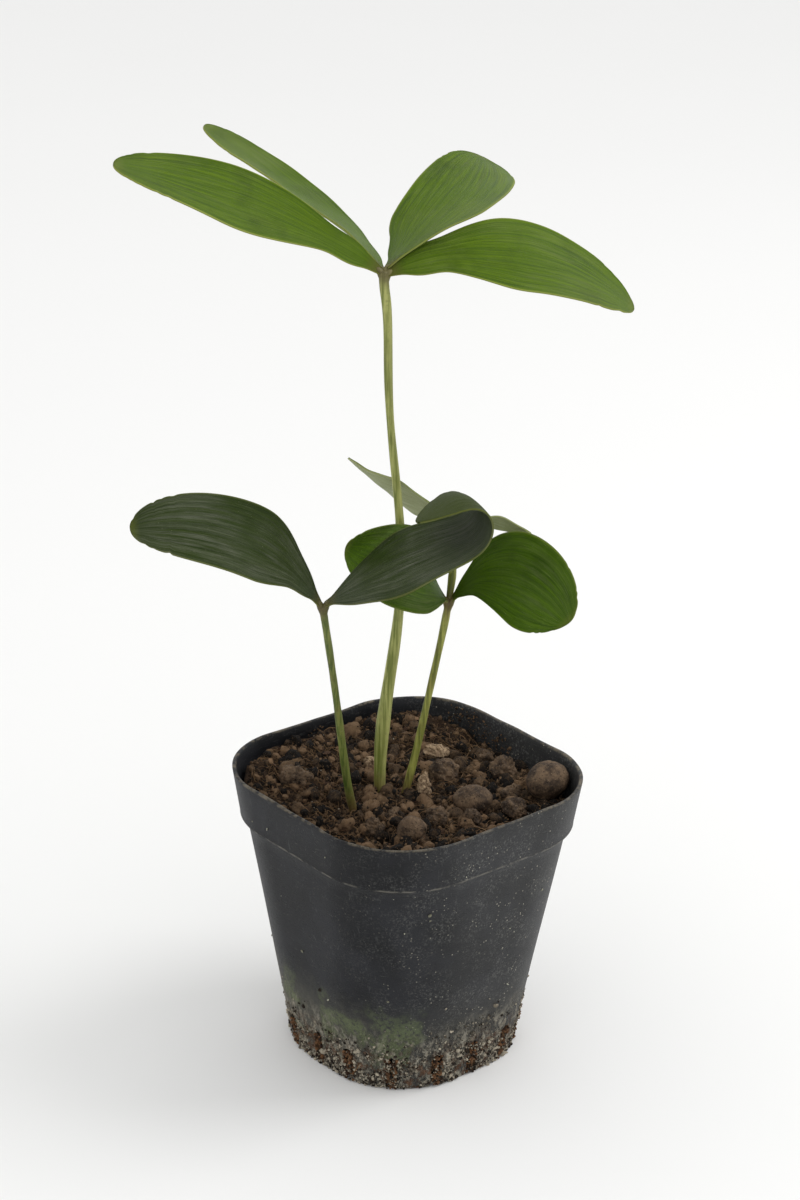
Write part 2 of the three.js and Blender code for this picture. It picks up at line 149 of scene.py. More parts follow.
class Shade:
    """An output socket that can be used in sums."""

    def __init__(self, finish, socket):
        self.finish = finish
        self.socket = socket

    def math(self, operation, first, second=0.0):
        return self.finish.node("ShaderNodeMath", {"operation": operation}, {0: first, 1: second})

    def __add__(self, other):
        return self.math("ADD", self, other)

    __radd__ = __add__

    def __sub__(self, other):
        return self.math("SUBTRACT", self, other)

    def __rsub__(self, other):
        return self.math("SUBTRACT", other, self)

    def __mul__(self, other):
        return self.math("MULTIPLY", self, other)

    __rmul__ = __mul__

    def __truediv__(self, other):
        return self.math("DIVIDE", self, other)

    def __rtruediv__(self, other):
        return self.math("DIVIDE", other, self)

    def size(self):
        return self.math("ABSOLUTE", self)

    def wave(self):
        return self.math("SINE", self)

    def rise(self, low, high):
        """0 below low, 1 above high, and a smooth climb between them."""
        ends = {"Value": self, "From Min": low, "From Max": high}
        return self.finish.node("ShaderNodeMapRange", {"interpolation_type": "SMOOTHSTEP"}, ends)


class Finish:
    """A material whose nodes are added one by one."""

    def __init__(self, name, **constants):
        self.material = bpy.data.materials.new(name)
        self.material.use_nodes = True
        self.tree = self.material.node_tree
        self.shader = self.tree.nodes["Principled BSDF"]
        for socket, value in constants.items():
            self.shader.inputs[socket.replace("_", " ")].default_value = value

    def node(self, kind, settings=None, values=None, output=0):
        made = self.tree.nodes.new(kind)
        for key, value in (settings or {}).items():
            setattr(made, key, value)
        for key, value in (values or {}).items():
            self.feed(made.inputs[key], value)
        return Shade(self, made.outputs[output])

    def feed(self, socket, value):
        if isinstance(value, Shade):
            self.tree.links.new(value.socket, socket)
        else:
            socket.default_value = value

    def where(self, x=1.0, y=1.0, z=1.0):
        """Places on the object in metres, stretched by a factor along each axis."""
        place = self.node("ShaderNodeTexCoord", output="Object")
        return self.node("ShaderNodeVectorMath", {"operation": "MULTIPLY"}, {0: place, 1: (x, y, z)})

    def stored(self, name):
        """Three numbers that were stored at each corner of the mesh."""
        vector = self.node("ShaderNodeAttribute", {"attribute_name": name}, output="Vector")
        return [self.node("ShaderNodeSeparateXYZ", {}, {0: vector}, output=k) for k in range(3)]

    def grain(self, where, scale, detail=4.0, roughness=0.55, distortion=0.0):
        values = {"Vector": where, "Scale": scale, "Detail": detail, "Roughness": roughness,
                  "Distortion": distortion}
        return self.node("ShaderNodeTexNoise", {}, values)

    def cells(self, where, scale):
        return self.node("ShaderNodeTexVoronoi", {}, {"Vector": where, "Scale": scale})

    def mix(self, factor, first, second):
        """The first colour where factor is 0 and the second where it is 1."""
        values = {0: factor, 6: first, 7: second}
        return self.node("ShaderNodeMix", {"data_type": "RGBA"}, values, output=2)

    def bump(self, height, distance, strength=1.0):
        values = {"Height": height, "Distance": distance, "Strength": strength}
        self.feed(self.shader.inputs["Normal"], self.node("ShaderNodeBump", {}, values))

    def done(self, colour, roughness):
        self.feed(self.shader.inputs["Base Color"], colour)
        self.feed(self.shader.inputs["Roughness"], roughness)
        return self.material


def paint(red, green, blue):
    """A screen colour, 0 to 255, as the linear colour that a shader takes."""
    channels = [c / 255 for c in (red, green, blue)]
    return (*(c / 12.92 if c <= 0.04045 else ((c + 0.055) / 1.055) ** 2.4 for c in channels), 1.0)


print("shader arithmetic ready")

# %% [markdown]
# ## The pot
# A nursery pot is thin black plastic, blown or pressed in one go: tapering walls, a stiffer
# band round the rim, and arched drain slots round the base. Old pots are scuffed and dusty,
# with lime and peat dried on near the base and green algae where the wall stays damp. The
# walls are lofted from square rings with round corners, and the slots are cut with a boolean,
# because that gives true edges with the wall's own thickness in them.

# %% Proportions of the pot
WALL = 1.2 * MM
BAND = 0.16 * POT_HEIGHT
BAND_FOOT = POT_HEIGHT - BAND
STEP_FOOT = BAND_FOOT - 0.6 * MM
CORNER = 27.5 * MM
pot_points, _ = welded("nursery_pot")


def half_width(points, low, high):
    """Half the width of the pot's outside between two heights."""
    level = points[(points[:, 2] > low) & (points[:, 2] < high)]
    return level[:, 0].max()


BASE_HALF = half_width(pot_points, 0.5 * MM, 1.5 * MM)
WALL_TOP_HALF = half_width(pot_points, STEP_FOOT - 0.1 * MM, STEP_FOOT + 0.1 * MM)
BAND_HALF = half_width(pot_points, BAND_FOOT - 0.1 * MM, BAND_FOOT + 0.1 * MM)
halves = (BASE_HALF, WALL_TOP_HALF, BAND_HALF, RIM_HALF)
print("half-widths in mm", [round(half / MM, 1) for half in halves])

# %% Square rings with round corners
AROUND = 192


def square_ring(half, corner, z):
    """Points round a square with round corners, evenly spaced along its outline."""
    straight = 2 * (half - corner)
    arc = corner * pi / 2
    quarter = straight + arc
    ring = []
    for run in np.arange(AROUND) / AROUND * 4 * quarter:
        turn, left = divmod(run + straight / 2, quarter)
        if left < straight:
            local = (half, left - straight / 2)
        else:
            angle = (left - straight) / corner
            local = (half - corner + corner * cos(angle), half - corner + corner * sin(angle))
        c, s = cos(turn * pi / 2), sin(turn * pi / 2)
        ring.append((local[0] * c - local[1] * s, local[0] * s + local[1] * c, z))
    return np.array(ring)


def wall_half(z):
    """Half-width of the outside at a height, with the corner radius there."""
    if z < STEP_FOOT:
        up = max(z - MM, 0) / (STEP_FOOT - MM)
        return BASE_HALF + (WALL_TOP_HALF - BASE_HALF) * up, CORNER - 1.5 * MM * (1 - up)
    up = max(z - BAND_FOOT, 0) / BAND
    return BAND_HALF + (RIM_HALF - BAND_HALF) * up, CORNER


def pot_shell():
    lip = 0.45 * MM
    profile = [(BASE_HALF - 1.0 * MM, CORNER - 2.4 * MM, 0)]
    profile += [(BASE_HALF - 0.3 * MM, CORNER - 1.8 * MM, 0.25 * MM)]
    profile += [(*wall_half(z), z) for z in np.linspace(MM, STEP_FOOT, 30)]
    profile += [(*wall_half(z), z) for z in np.linspace(BAND_FOOT, POT_HEIGHT - lip, 8)]
    for angle in np.linspace(0, pi, 7)[1:-1]:
        half = RIM_HALF - WALL / 2 + WALL / 2 * cos(angle)
        profile.append((half, CORNER - (RIM_HALF - half), POT_HEIGHT - lip + lip * sin(angle)))
    inner = [*np.linspace(POT_HEIGHT - lip, BAND_FOOT, 8), *np.linspace(STEP_FOOT - 0.6 * MM, 3 * MM, 14)]
    for z in inner:
        half, corner = wall_half(z)
        profile.append((half - WALL, corner - WALL, z))
    half, corner = wall_half(MM)
    profile.append((half - WALL - MM, corner - WALL - MM, 1.8 * MM))
    return loft(np.array([square_ring(*level) for level in profile]))


shell_points, shell_faces = pot_shell()
print("pot shell", len(shell_faces), "faces")

# %% [markdown]
# Sixteen arched slots stand round the base. Each cutter is an arch pushed through the wall.

# %% Cutters for the drain slots
SLOTS = 16
SLOT_HALF = 1.8 * MM
SLOT_TOP = 12 * MM
SLOT_RADII = (28.6 * MM, 39 * MM)


def slot_cutters():
    arch = [(-SLOT_HALF, -2 * MM), (SLOT_HALF, -2 * MM)]
    for angle in np.linspace(0, pi, 11):
        arch.append((SLOT_HALF * cos(angle), SLOT_TOP - SLOT_HALF + SLOT_HALF * sin(angle)))
    points = []
    faces = []
    for slot in range(SLOTS):
        turn = slot / SLOTS * 2 * pi
        out = np.array([cos(turn), sin(turn), 0])
        side = np.array([-sin(turn), cos(turn), 0])
        rings = [[out * reach + side * x + np.array([0, 0, z]) for x, z in arch] for reach in SLOT_RADII]
        cutter, cutter_faces = loft(np.array(rings))
        faces += [[index + len(points) for index in face] for face in cutter_faces]
        points += cutter.tolist()
    return points, faces


cutter_mesh = bpy.data.meshes.new("slot_cutters")
cutter_points, cutter_faces = slot_cutters()
cutter_mesh.from_pydata(cutter_points, [], cutter_faces)
cutter_tool = bpy.data.objects.new("slot_cutters", cutter_mesh)
bpy.context.collection.objects.link(cutter_tool)
print("slot cutters", len(cutter_mesh.polygons), "faces")

# %% [markdown]
# The plastic's finish is built in layers, from the bare black up: cloudy wear, hair-fine
# scratches, a film of dust, painted stronger on the right side, then a painted lighter grey on
# that side, where the key light falls, pale specks, a dirt line in the crease under the band,
# then lime, peat stains and algae on the lowest stretch. Each layer has a mask made from noise
# and height, and the painted light a mask from the side.

# %% Finish of the pot
VIEW_TURN = radians(40.2)
RIGHT = Vector((cos(VIEW_TURN), -sin(VIEW_TURN)))


def pot_plastic():
    plastic = Finish("pot_plastic", Specular_IOR_Level=0.2)
    place = plastic.where()
    x, y, z = (plastic.node("ShaderNodeSeparateXYZ", {}, {0: place}, output=k) for k in range(3))
    right = (x * RIGHT.x + y * RIGHT.y) / RIM_HALF
    cloud = plastic.grain(place, 55, 5)
    scratch = plastic.grain(plastic.where(260, 260, 1900), 1.0, 3, 0.6, 1.2).rise(0.61, 0.67)
    scuff = plastic.grain(plastic.where(900, 900, 130), 1.0, 3, 0.6, 0.8).rise(0.63, 0.70)
    dust = plastic.grain(place, 1500, 3, 0.7).rise(0.50, 0.66)
    dust = dust * plastic.grain(place, 120, 3).rise(0.38, 0.62)
    speck = 1 - plastic.cells(place, 760).rise(0.12, 0.20)
    sparse = plastic.grain(place, 190, 3).rise(0.50, 0.62) * (right.rise(-0.5, 0.6) * 0.85 + 0.15)
    ragged = (plastic.grain(place, 260, 5, 0.7) - 0.5) * 2 * MM
    crease = 1 - ((z + ragged * 0.25 - BAND_FOOT + 0.5 * MM).size()).rise(0.15 * MM, 0.5 * MM)
    crease = crease * plastic.grain(place, 210, 3).rise(0.40, 0.60)
    low = 1 - (z + ragged * 7).rise(9 * MM, 25 * MM)
    lime = low * plastic.grain(plastic.where(1.0, 1.0, 0.5), 330, 9, 0.9).rise(0.46, 0.53)
    stain = 1 - (z + ragged * 5).rise(6 * MM, 19 * MM)
    stain = stain * plastic.grain(place, 230, 8, 0.85).rise(0.49, 0.55)
    film = 1 - (z + ragged * 8).rise(12 * MM, 36 * MM)
    damp = (1 - (z + ragged * 6).rise(20 * MM, 33 * MM)) * (z + ragged * 4).rise(5 * MM, 13 * MM)
    patch = plastic.grain(place, 62, 3, 0.6, 0.4).rise(0.50, 0.60)
    patch = patch * plastic.grain(place, 900, 4).rise(0.30, 0.55)
    algae = damp * patch * (1 - right.rise(0.1, 0.3))
    colour = plastic.mix(cloud.rise(0.35, 0.7), paint(16, 17, 20), paint(34, 35, 39))
    colour = plastic.mix((scratch + scuff) * 0.10, colour, paint(128, 130, 128))
    # Painted light: the dust film is real dust but painted stronger on the right, and the next layer paints the
    # right side lighter grey, where the key light falls.
    colour = plastic.mix(dust * (right.rise(-0.6, 0.6) * 0.34 + 0.10), colour, paint(126, 126, 122))
    colour = plastic.mix(right.rise(-0.2, 0.9) * 0.13, colour, paint(112, 112, 110))
    colour = plastic.mix(speck * sparse * 0.8, colour, paint(170, 165, 150))
    colour = plastic.mix(crease * 0.34, colour, paint(150, 146, 134))
    colour = plastic.mix(film * (0.12 + (1 - right.rise(-0.7, 0.1)) * 0.32), colour, paint(112, 110, 96))
    worn = z.rise(POT_HEIGHT - 1.1 * MM, POT_HEIGHT - 0.3 * MM)
    worn = worn * plastic.grain(place, 330, 5, 0.7).rise(0.42, 0.62)
    colour = plastic.mix(worn * 0.6, colour, paint(128, 118, 100))
    colour = plastic.mix(lime * 0.80, colour, paint(172, 166, 150))
    colour = plastic.mix(algae * 0.55, colour, paint(100, 112, 72))
    colour = plastic.mix(stain * 0.85, colour, paint(98, 64, 40))
    rough = cloud * 0.16 + dust * 0.2 + lime * 0.25 + stain * 0.2 + 0.40
    ridge = plastic.grain(plastic.where(420, 420, 70), 1.0, 4, 0.7) * low
    height = ridge * 0.8 + lime * 0.5 + stain * 0.6 + crease * 0.4 - scratch * 0.15
    height = height + plastic.grain(place, 2600, 3) * 0.12
    plastic.bump(height, 0.9 * MM, 0.9)
    return plastic.done(colour, rough)


print("pot finish ready")

# %% [markdown]
# The boolean leaves an exact result. The walls then get a slight, slow unevenness, and the lip
# waves a little, as thin plastic does once it has been filled and handled.

# %% Make the pot
shell = make_piece("pot_shell", shell_points, shell_faces, pot_plastic(), ["nursery_pot"])
cut = shell.modifiers.new("slots", "BOOLEAN")
cut.operation = "DIFFERENCE"
cut.solver = "EXACT"
cut.object = cutter_tool
cut_mesh = bpy.data.meshes.new_from_object(shell.evaluated_get(bpy.context.evaluated_depsgraph_get()))
shell.modifiers.clear()
shell.data = cut_mesh
bpy.data.objects.remove(cutter_tool)

for vertex in cut_mesh.vertices:
    x, y, z = vertex.co
    up = z / POT_HEIGHT
    bulge = noise.noise(Vector((x * 38, y * 38, z * 22))) * 0.32 * MM * min(1, up * 3)
    out = Vector((x, y, 0)).normalized()
    vertex.co += out * bulge
    if z > POT_HEIGHT * 0.9:
        lift = noise.noise(Vector((x * 75, y * 75, 3.0))) * 0.55 * MM
        vertex.co.z += (lift - 0.35 * MM) * (up - 0.9) * 10
cut_mesh.set_sharp_from_angle(angle=radians(40))
print("pot", len(cut_mesh.polygons), "faces")

# %% [markdown]
# ## The filling
# Potting mix is peat and coir crumbs with bark, painted paler brown where it stands high and darker in the gaps,
# as painted light and shade.
# One skin gives its overall shape: its top follows the construction model, with the pits of
# the stems closed, and lumpy noise breaks it up. Loose crumbs, fibres and grit go on it after.

# %% Height of the filling
mix_points, mix_triangles = welded("potting_mix")
mix_tree = BVHTree.FromPolygons(mix_points.tolist(), mix_triangles.tolist())
SURFACE_FLOOR = 0.81 * POT_HEIGHT


def height_below(tree, x, y):
    """Where a plumb line over x, y meets a surface, or None."""
    hit = tree.ray_cast(Vector((x, y, 2 * POT_HEIGHT)), Vector((0, 0, -1)))[0]
    return hit.z if hit else None


mix_half = RIM_HALF - WALL - 1.7 * MM
ring_shares = np.linspace(1, 0.012, 96)
surface = np.array([square_ring(mix_half * share, (CORNER - WALL) * share, 0) for share in ring_shares])
flat = surface.reshape(-1, 3)
heights = np.array([height_below(mix_tree, x * 0.985, y * 0.985) or 0 for x, y, _ in flat])
sound = np.flatnonzero(heights > SURFACE_FLOOR)
nearest = KDTree(len(sound))
for index in sound:
    nearest.insert((flat[index, 0], flat[index, 1], 0), int(index))
nearest.balance()
for index in np.flatnonzero(heights <= SURFACE_FLOOR):
    around = nearest.find_n((flat[index, 0], flat[index, 1], 0), 8)
    heights[index] = np.mean([heights[found] for _, found, _ in around])
print("filling stands", round(heights.min() / MM, 1), "to", round(heights.max() / MM, 1), "mm high")

# %% Skin of the filling
for index, (x, y, _) in enumerate(flat):
    lump = noise.fractal(Vector((x * 170, y * 170, 1.0)), 0.7, 2.0, 4) * 1.5 * MM
    crumb = noise.fractal(Vector((x * 650, y * 650, 5.0)), 0.6, 2.1, 4) * 0.6 * MM
    room = wall_half(heights[index] - 1.5 * MM)[0] - WALL - 0.3 * MM
    flat[index, :2] *= min(1, room / mix_half)
    flat[index, 2] = heights[index] + lump + crumb - 0.3 * MM
sides = []
for z in np.linspace(2.3 * MM, SURFACE_FLOOR, 34):
    half, corner = wall_half(z)
    ring = square_ring(half - WALL - 0.3 * MM, corner - WALL, z)
    for point in ring:
        point[:2] *= 1 - max(0, noise.fractal(Vector(point) * 420, 0.7, 2.0, 4)) * 0.018
    sides.append(ring)
filling_points, filling_faces = loft(np.concatenate([np.array(sides), surface]))
print("filling skin", len(filling_faces), "faces")

# %% Finish of the filling


def peat_finish(name, dark, light, scale):
    peat = Finish(name, Specular_IOR_Level=0.25)
    place = peat.where()
    clump = peat.grain(place, 240 * scale, 6, 0.7)
    fleck = peat.grain(place, 1700 * scale, 4, 0.7)
    # On the filling the stored tone is painted light and shade by height; on loose pieces it is a random tone.
    tone = peat.stored("tone")[0]
    colour = peat.mix((clump * 0.6 + fleck * 0.4 + tone * 0.5).rise(0.38, 0.85), dark, light)
    bright = peat.grain(place, 2900, 2).rise(0.63, 0.70) * 0.5
    colour = peat.mix(bright, colour, paint(150, 122, 92))
    peat.bump(clump * 0.6 + fleck * 0.8, 1.0 * MM, 1.0)
    return peat.done(colour, 0.82 + clump * 0.15)


def store(piece, name, rows):
    """Keeps three numbers at each corner of a piece for its finish to read."""
    layer = piece.data.attributes.new(name, "FLOAT_VECTOR", "POINT")
    layer.data.foreach_set("vector", np.asarray(rows, dtype=np.float32).ravel())


# Painted light and shade: the filling is painted paler the higher it stands, over this depth above its lowest
# level, and darker in its low places.
LIT_DEPTH = 12 * MM
LIT_SHARE = 0.35
peat = peat_finish("potting_mix", paint(12, 8, 5), paint(66, 48, 33), 1.0)
filling = make_piece("peat_filling", filling_points, filling_faces, peat, ["potting_mix"])
high = (filling_points[:, 2] - SURFACE_FLOOR) / LIT_DEPTH
store(filling, "tone", np.outer(high * LIT_SHARE, (1, 0, 0)))
print("filling", len(filling.data.polygons), "faces")

# %% [markdown]
# The crumbs lie on the finished skin, so it is sampled once on a fine grid. Every loose
# thing then reads its height from that grid.

# %% Height map for loose things
MAP_HALF = RIM_HALF - WALL - 1.8 * MM
MAP_STEPS = 240
filling_tree = BVHTree.FromPolygons(filling_points.tolist(), filling_faces)
axis = np.linspace(-MAP_HALF, MAP_HALF, MAP_STEPS)
ground_map = np.array([[height_below(filling_tree, x, y) or 0 for y in axis] for x in axis])


def ground(x, y):
    """Height of the filling at places inside the pot."""
    i = np.clip((np.asarray(x) + MAP_HALF) / (2 * MAP_HALF) * (MAP_STEPS - 1), 0, MAP_STEPS - 1)
    j = np.clip((np.asarray(y) + MAP_HALF) / (2 * MAP_HALF) * (MAP_STEPS - 1), 0, MAP_STEPS - 1)
    return ground_map[i.astype(int), j.astype(int)]


def scatter(count, margin):
    """Random places on the filling, at least a margin from the wall."""
    half = MAP_HALF - margin
    core = half - CORNER + WALL
    places = chance.uniform(-half, half, (count * 2, 2))
    over = np.maximum(np.abs(places) - core, 0)
    inside = (over ** 2).sum(axis=1) < (half - core) ** 2
    return places[inside & (ground(*places.T) > SURFACE_FLOOR)][:count]


print("height map", ground_map.shape)

# %% [markdown]
# A crumb is a small faceted lump. Thousands are wanted, so they are made together: one
# twenty-faced ball is squashed, turned and roughened for each place, all in one mesh.

# %% A heap of crumbs
GOLD = (1 + sqrt(5)) / 2
BALL = np.array([(-1, GOLD, 0), (1, GOLD, 0), (-1, -GOLD, 0), (1, -GOLD, 0), (0, -1, GOLD), (0, 1, GOLD),
                 (0, -1, -GOLD), (0, 1, -GOLD), (GOLD, 0, -1), (GOLD, 0, 1), (-GOLD, 0, -1), (-GOLD, 0, 1)])
BALL = BALL / np.linalg.norm(BALL[0])
BALL_FACES = np.array([face for face in
                       [(a, b, c) for a in range(12) for b in range(a + 1, 12) for c in range(a + 1, 12) if b != c]
                       if np.ptp([np.linalg.norm(BALL[face[i]] - BALL[face[i - 1]]) for i in range(3)]) < 0.01
                       and np.linalg.norm(BALL[face[0]] - BALL[face[1]]) < 1.1
                       and np.dot(BALL[face[0]], np.cross(BALL[face[1]], BALL[face[2]])) > 0])


def divided(ball, faces):
    """The ball with each face split in four."""
    middles = {}
    points = list(ball)

    def halfway(a, b):
        key = (min(a, b), max(a, b))
        if key not in middles:
            middles[key] = len(points)
            points.append(unit(ball[a] + ball[b]))
        return middles[key]

    parts = []
    for a, b, c in faces:
        ab, bc, ca = halfway(a, b), halfway(b, c), halfway(c, a)
        parts += [(a, ab, ca), (b, bc, ab), (c, ca, bc), (ab, bc, ca)]
    return np.array(points), np.array(parts)


def turns(count):
    """Random rotation matrices."""
    mats, _ = np.linalg.qr(chance.normal(size=(count, 3, 3)))
    return mats * np.sign(np.linalg.det(mats))[:, None, None]


SWELL_RATES = np.array([1.5, 2, 3, 4, 6, 8, 11])
SWELL_DEPTHS = np.array([0.16, 0.13, 0.10, 0.08, 0.06, 0.05, 0.04])


def heap(name, places, sizes, flatness, finish, tones, fineness=0):
    """Crumbs at the places, in one mesh, with tones from a range of dark to light.

    Flatness squashes each along one of its own axes, and fineness divides its faces.
    """
    tone = chance.uniform(*tones, len(places))
    ball, faces = BALL, BALL_FACES
    for _ in range(fineness):
        ball, faces = divided(ball, faces)
    count, corners = len(places), len(ball)
    shape = chance.uniform(0.65, 1.0, (count, 1, 3))
    shape[:, 0, 2] *= flatness
    if fineness:
        waves = chance.normal(0, 1, (7, count, 3)) * SWELL_RATES[:, None, None]
        swell = np.sin(np.einsum("wnj,kj->wnk", waves, ball) + chance.uniform(0, 2 * pi, (7, count, 1)))
        rough = 1 + (swell * SWELL_DEPTHS[:, None, None]).sum(axis=0)[..., None]
    else:
        rough = chance.uniform(0.72, 1.12, (count, corners, 1))
    local = ball[None] * shape * rough * (np.asarray(sizes)[:, None, None] / 2)
    points = np.einsum("nij,nkj->nki", turns(count), local) + np.asarray(places)[:, None]
    shifted = (faces[None] + (np.arange(count) * corners)[:, None, None]).reshape(-1, 3)
    made = make_piece(name, points.reshape(-1, 3), shifted.tolist(), finish)
    made.data.polygons.foreach_set("use_smooth", np.full(len(shifted), fineness > 0))
    store(made, "tone", np.repeat(np.outer(tone, (1, 0, 0)), corners, axis=0))
    return made


def grain_sizes(count, shape, scale, least):
    """Many small sizes and a few large ones, in metres from millimetres."""
    return chance.gamma(shape, scale, count) * MM + least * MM


def on_ground(places, lift):
    return np.column_stack([places, ground(*places.T) + lift])


crumb_finish = peat_finish("peat_crumb", paint(17, 12, 8), paint(124, 99, 74), 1.6)
spots = scatter(4200, 0.6 * MM)
sizes = grain_sizes(len(spots), 2.2, 0.42, 0.5)
heap("peat_crumbs", on_ground(spots, sizes * 0.2), sizes, 0.8, crumb_finish,
     (-0.35, 0.7))
clods_at = scatter(400, 2.8 * MM)
clod_sizes = chance.uniform(2.2, 6.2, len(clods_at)) * MM
heap("peat_clods", on_ground(clods_at, clod_sizes * 0.12), clod_sizes, 0.8, crumb_finish,
     (-0.5, 0.75), fineness=2)
print("crumbs", len(spots), "and clods", len(clods_at))

# %% [markdown]
# Clods and pebbles in a pot are never clean. Fine crumbs cling to them, mostly on top, and give
# them a ragged outline. The crumbs are set just inside each lump's surface, so none floats.

# %% Crumbs that cling to lumps


def clinging(centres, radii, each):
    """Places on the upper side of lumps: a few random directions for each."""
    ways = chance.normal(size=(len(centres), each, 3))
    ways[..., 2] = np.abs(ways[..., 2]) * 0.8 + 0.1
    radii = np.asarray(radii).reshape(len(centres), 1, -1)
    return (np.asarray(centres)[:, None] + unit(ways) * radii).reshape(-1, 3)


clod_centres = on_ground(clods_at, clod_sizes * 0.12)
dust_at = clinging(clod_centres, clod_sizes * 0.38, 11)
heap("clod_dust", dust_at, grain_sizes(len(dust_at), 2.2, 0.2, 0.25), 0.8, crumb_finish,
     (-0.4, 0.9))
print("clinging crumbs", len(dust_at))

# %% [markdown]
# Coir fibres are thin, springy and lie every way. Each is a three-sided thread along a
# wandering path that keeps just above the crumbs. Mesh threads keep their thickness anywhere
# the model goes, which hair does not.

# %% Threads of coir and root


def threads(name, paths, radii, finish, tones):
    """Thin tapering threads in one mesh; paths is an array (thread, step, xyz)."""
    count, steps = paths.shape[:2]
    tone = chance.uniform(*tones, count)
    along = np.gradient(paths, axis=1)
    along /= np.linalg.norm(along, axis=2, keepdims=True) + 1e-12
    side = np.cross(along, np.array([0.31, 0.23, 0.92]))
    side /= np.linalg.norm(side, axis=2, keepdims=True) + 1e-12
    over = np.cross(along, side)
    taper = np.sin(np.linspace(0.12, 0.93, steps) * pi) ** 0.5
    width = (np.asarray(radii)[:, None] * taper[None])[..., None]
    corners = [paths + width * (side * cos(a) + over * sin(a)) for a in (0, 2 * pi / 3, 4 * pi / 3)]
    points = np.stack(corners, axis=2).reshape(-1, 3)
    faces = []
    for thread in range(count):
        base = thread * steps * 3
        for step in range(steps - 1):
            a = base + step * 3
            faces += [(a + k, a + (k + 1) % 3, a + 3 + (k + 1) % 3, a + 3 + k) for k in range(3)]
        faces += [(base + 2, base + 1, base), (a + 3, a + 4, a + 5)]
    made = make_piece(name, points, faces, finish)
    store(made, "tone", np.repeat(np.outer(tone, (1, 0, 0)), steps * 3, axis=0))
    return made


def wandering(starts, lengths, steps, bend):
    """Level paths that turn a little at every step."""
    heading = chance.uniform(0, 2 * pi, (len(starts), 1))
    heading = heading + np.cumsum(chance.normal(0, bend, (len(starts), steps)), axis=1)
    step = np.asarray(lengths)[:, None] / steps
    x = starts[:, :1] + np.cumsum(np.cos(heading) * step, axis=1)
    y = starts[:, 1:2] + np.cumsum(np.sin(heading) * step, axis=1)
    return x, y


def kept_inside(x, y):
    """The places, with those past the round corners or the walls drawn back in."""
    half = MAP_HALF - 1.5 * MM
    core = half - CORNER + WALL
    past = np.stack([np.maximum(np.abs(x) - core, 0), np.maximum(np.abs(y) - core, 0)])
    scale = np.minimum(1, (half - core) / (np.linalg.norm(past, axis=0) + 1e-9))
    return [np.sign(p) * (np.minimum(np.abs(p), core) + over * scale) for p, over in zip((x, y), past)]


def coir_paths(starts, lengths, steps=8, bend=0.35, arch=0.9 * MM):
    x, y = kept_inside(*wandering(starts, lengths, steps, bend))
    level = np.maximum(ground(x, y), SURFACE_FLOOR)
    level = (level + np.roll(level, 1, axis=1) + np.roll(level, -1, axis=1)) / 3
    hump = np.sin(np.linspace(0, 1, steps) * pi)[None] * arch * chance.uniform(0.2, 1.6, (len(starts), 1))
    return np.stack([x, y, level + 0.35 * MM + hump], axis=2)


fibre_finish = peat_finish("coir_fibre", paint(44, 31, 20), paint(134, 106, 76), 1.0)
starts = scatter(2100, 1.5 * MM)
threads("coir_fibres", coir_paths(starts, chance.uniform(3, 11, len(starts)) * MM),
        chance.uniform(0.06, 0.16, len(starts)) * MM, fibre_finish, (-0.3, 0.8))
print("coir fibres", len(starts))

# %% [markdown]
# A few pale things catch the eye in any potting mix: mineral grit, splinters and a straw.

# %% Grit and splinters
grit_finish = peat_finish("pale_grit", paint(120, 112, 98), paint(214, 206, 190), 1.0)
grit_at = scatter(210, 1.0 * MM)
heap("pale_grit", on_ground(grit_at, 0.5 * MM), chance.uniform(0.35, 0.95, len(grit_at)) * MM, 0.8,
     grit_finish, (-0.4, 0.6))
flake_at = scatter(190, 2.0 * MM)
flake_sizes = chance.uniform(1.6, 4.2, len(flake_at)) * MM
flake_finish = peat_finish("bark_flake", paint(66, 46, 32), paint(146, 116, 88), 1.3)
heap("bark_flakes", on_ground(flake_at, 0.7 * MM), flake_sizes, 0.28, flake_finish, (-0.4, 0.7))
print("grit", len(grit_at), "flakes", len(flake_at))

# %% [markdown]
# ## Pebbles and bark
# Expanded clay is fired into round, lumpy balls with a skin full of pin-holes, here brown with
# peat dust. Each construction pebble is smoothed by subdivision and then roughened with noise,
# which keeps its size and place and gives it a skin of its own.

# %% Finish of the clay and the bark


def clay_finish():
    clay = Finish("clay", Specular_IOR_Level=0.3)
    place = clay.where()
    cloud = clay.grain(place, 210, 5, 0.65)
    speckle = clay.grain(place, 1500, 4, 0.75)
    pit = 1 - clay.cells(place, 1150).rise(0.10, 0.34)
    colour = clay.mix(cloud.rise(0.36, 0.66), paint(46, 34, 24), paint(104, 84, 64))
    colour = clay.mix(speckle.rise(0.53, 0.68) * 0.55, colour, paint(136, 114, 90))
    colour = clay.mix(pit * 0.55, colour, paint(28, 20, 14))
    clay.bump(cloud * 0.8 + speckle * 0.4 - pit * 0.6, 0.5 * MM, 0.8)
    return clay.done(colour, 0.66 + speckle * 0.25)


def bark_finish():
    bark = Finish("bark", Specular_IOR_Level=0.3)
    line = bark.grain(bark.where(1500, 320, 900), 1.0, 5, 0.7, 0.6)
    cloud = bark.grain(bark.where(), 330, 4)
    colour = bark.mix(line.rise(0.35, 0.65), paint(84, 64, 46), paint(178, 154, 124))
    colour = bark.mix(cloud.rise(0.5, 0.7) * 0.6, colour, paint(96, 74, 54))
    bark.bump(line, 0.5 * MM, 0.9)
    return bark.done(colour, 0.8 + cloud * 0.1)


print("clay and bark finishes ready")

# %% Make the pebbles and chips


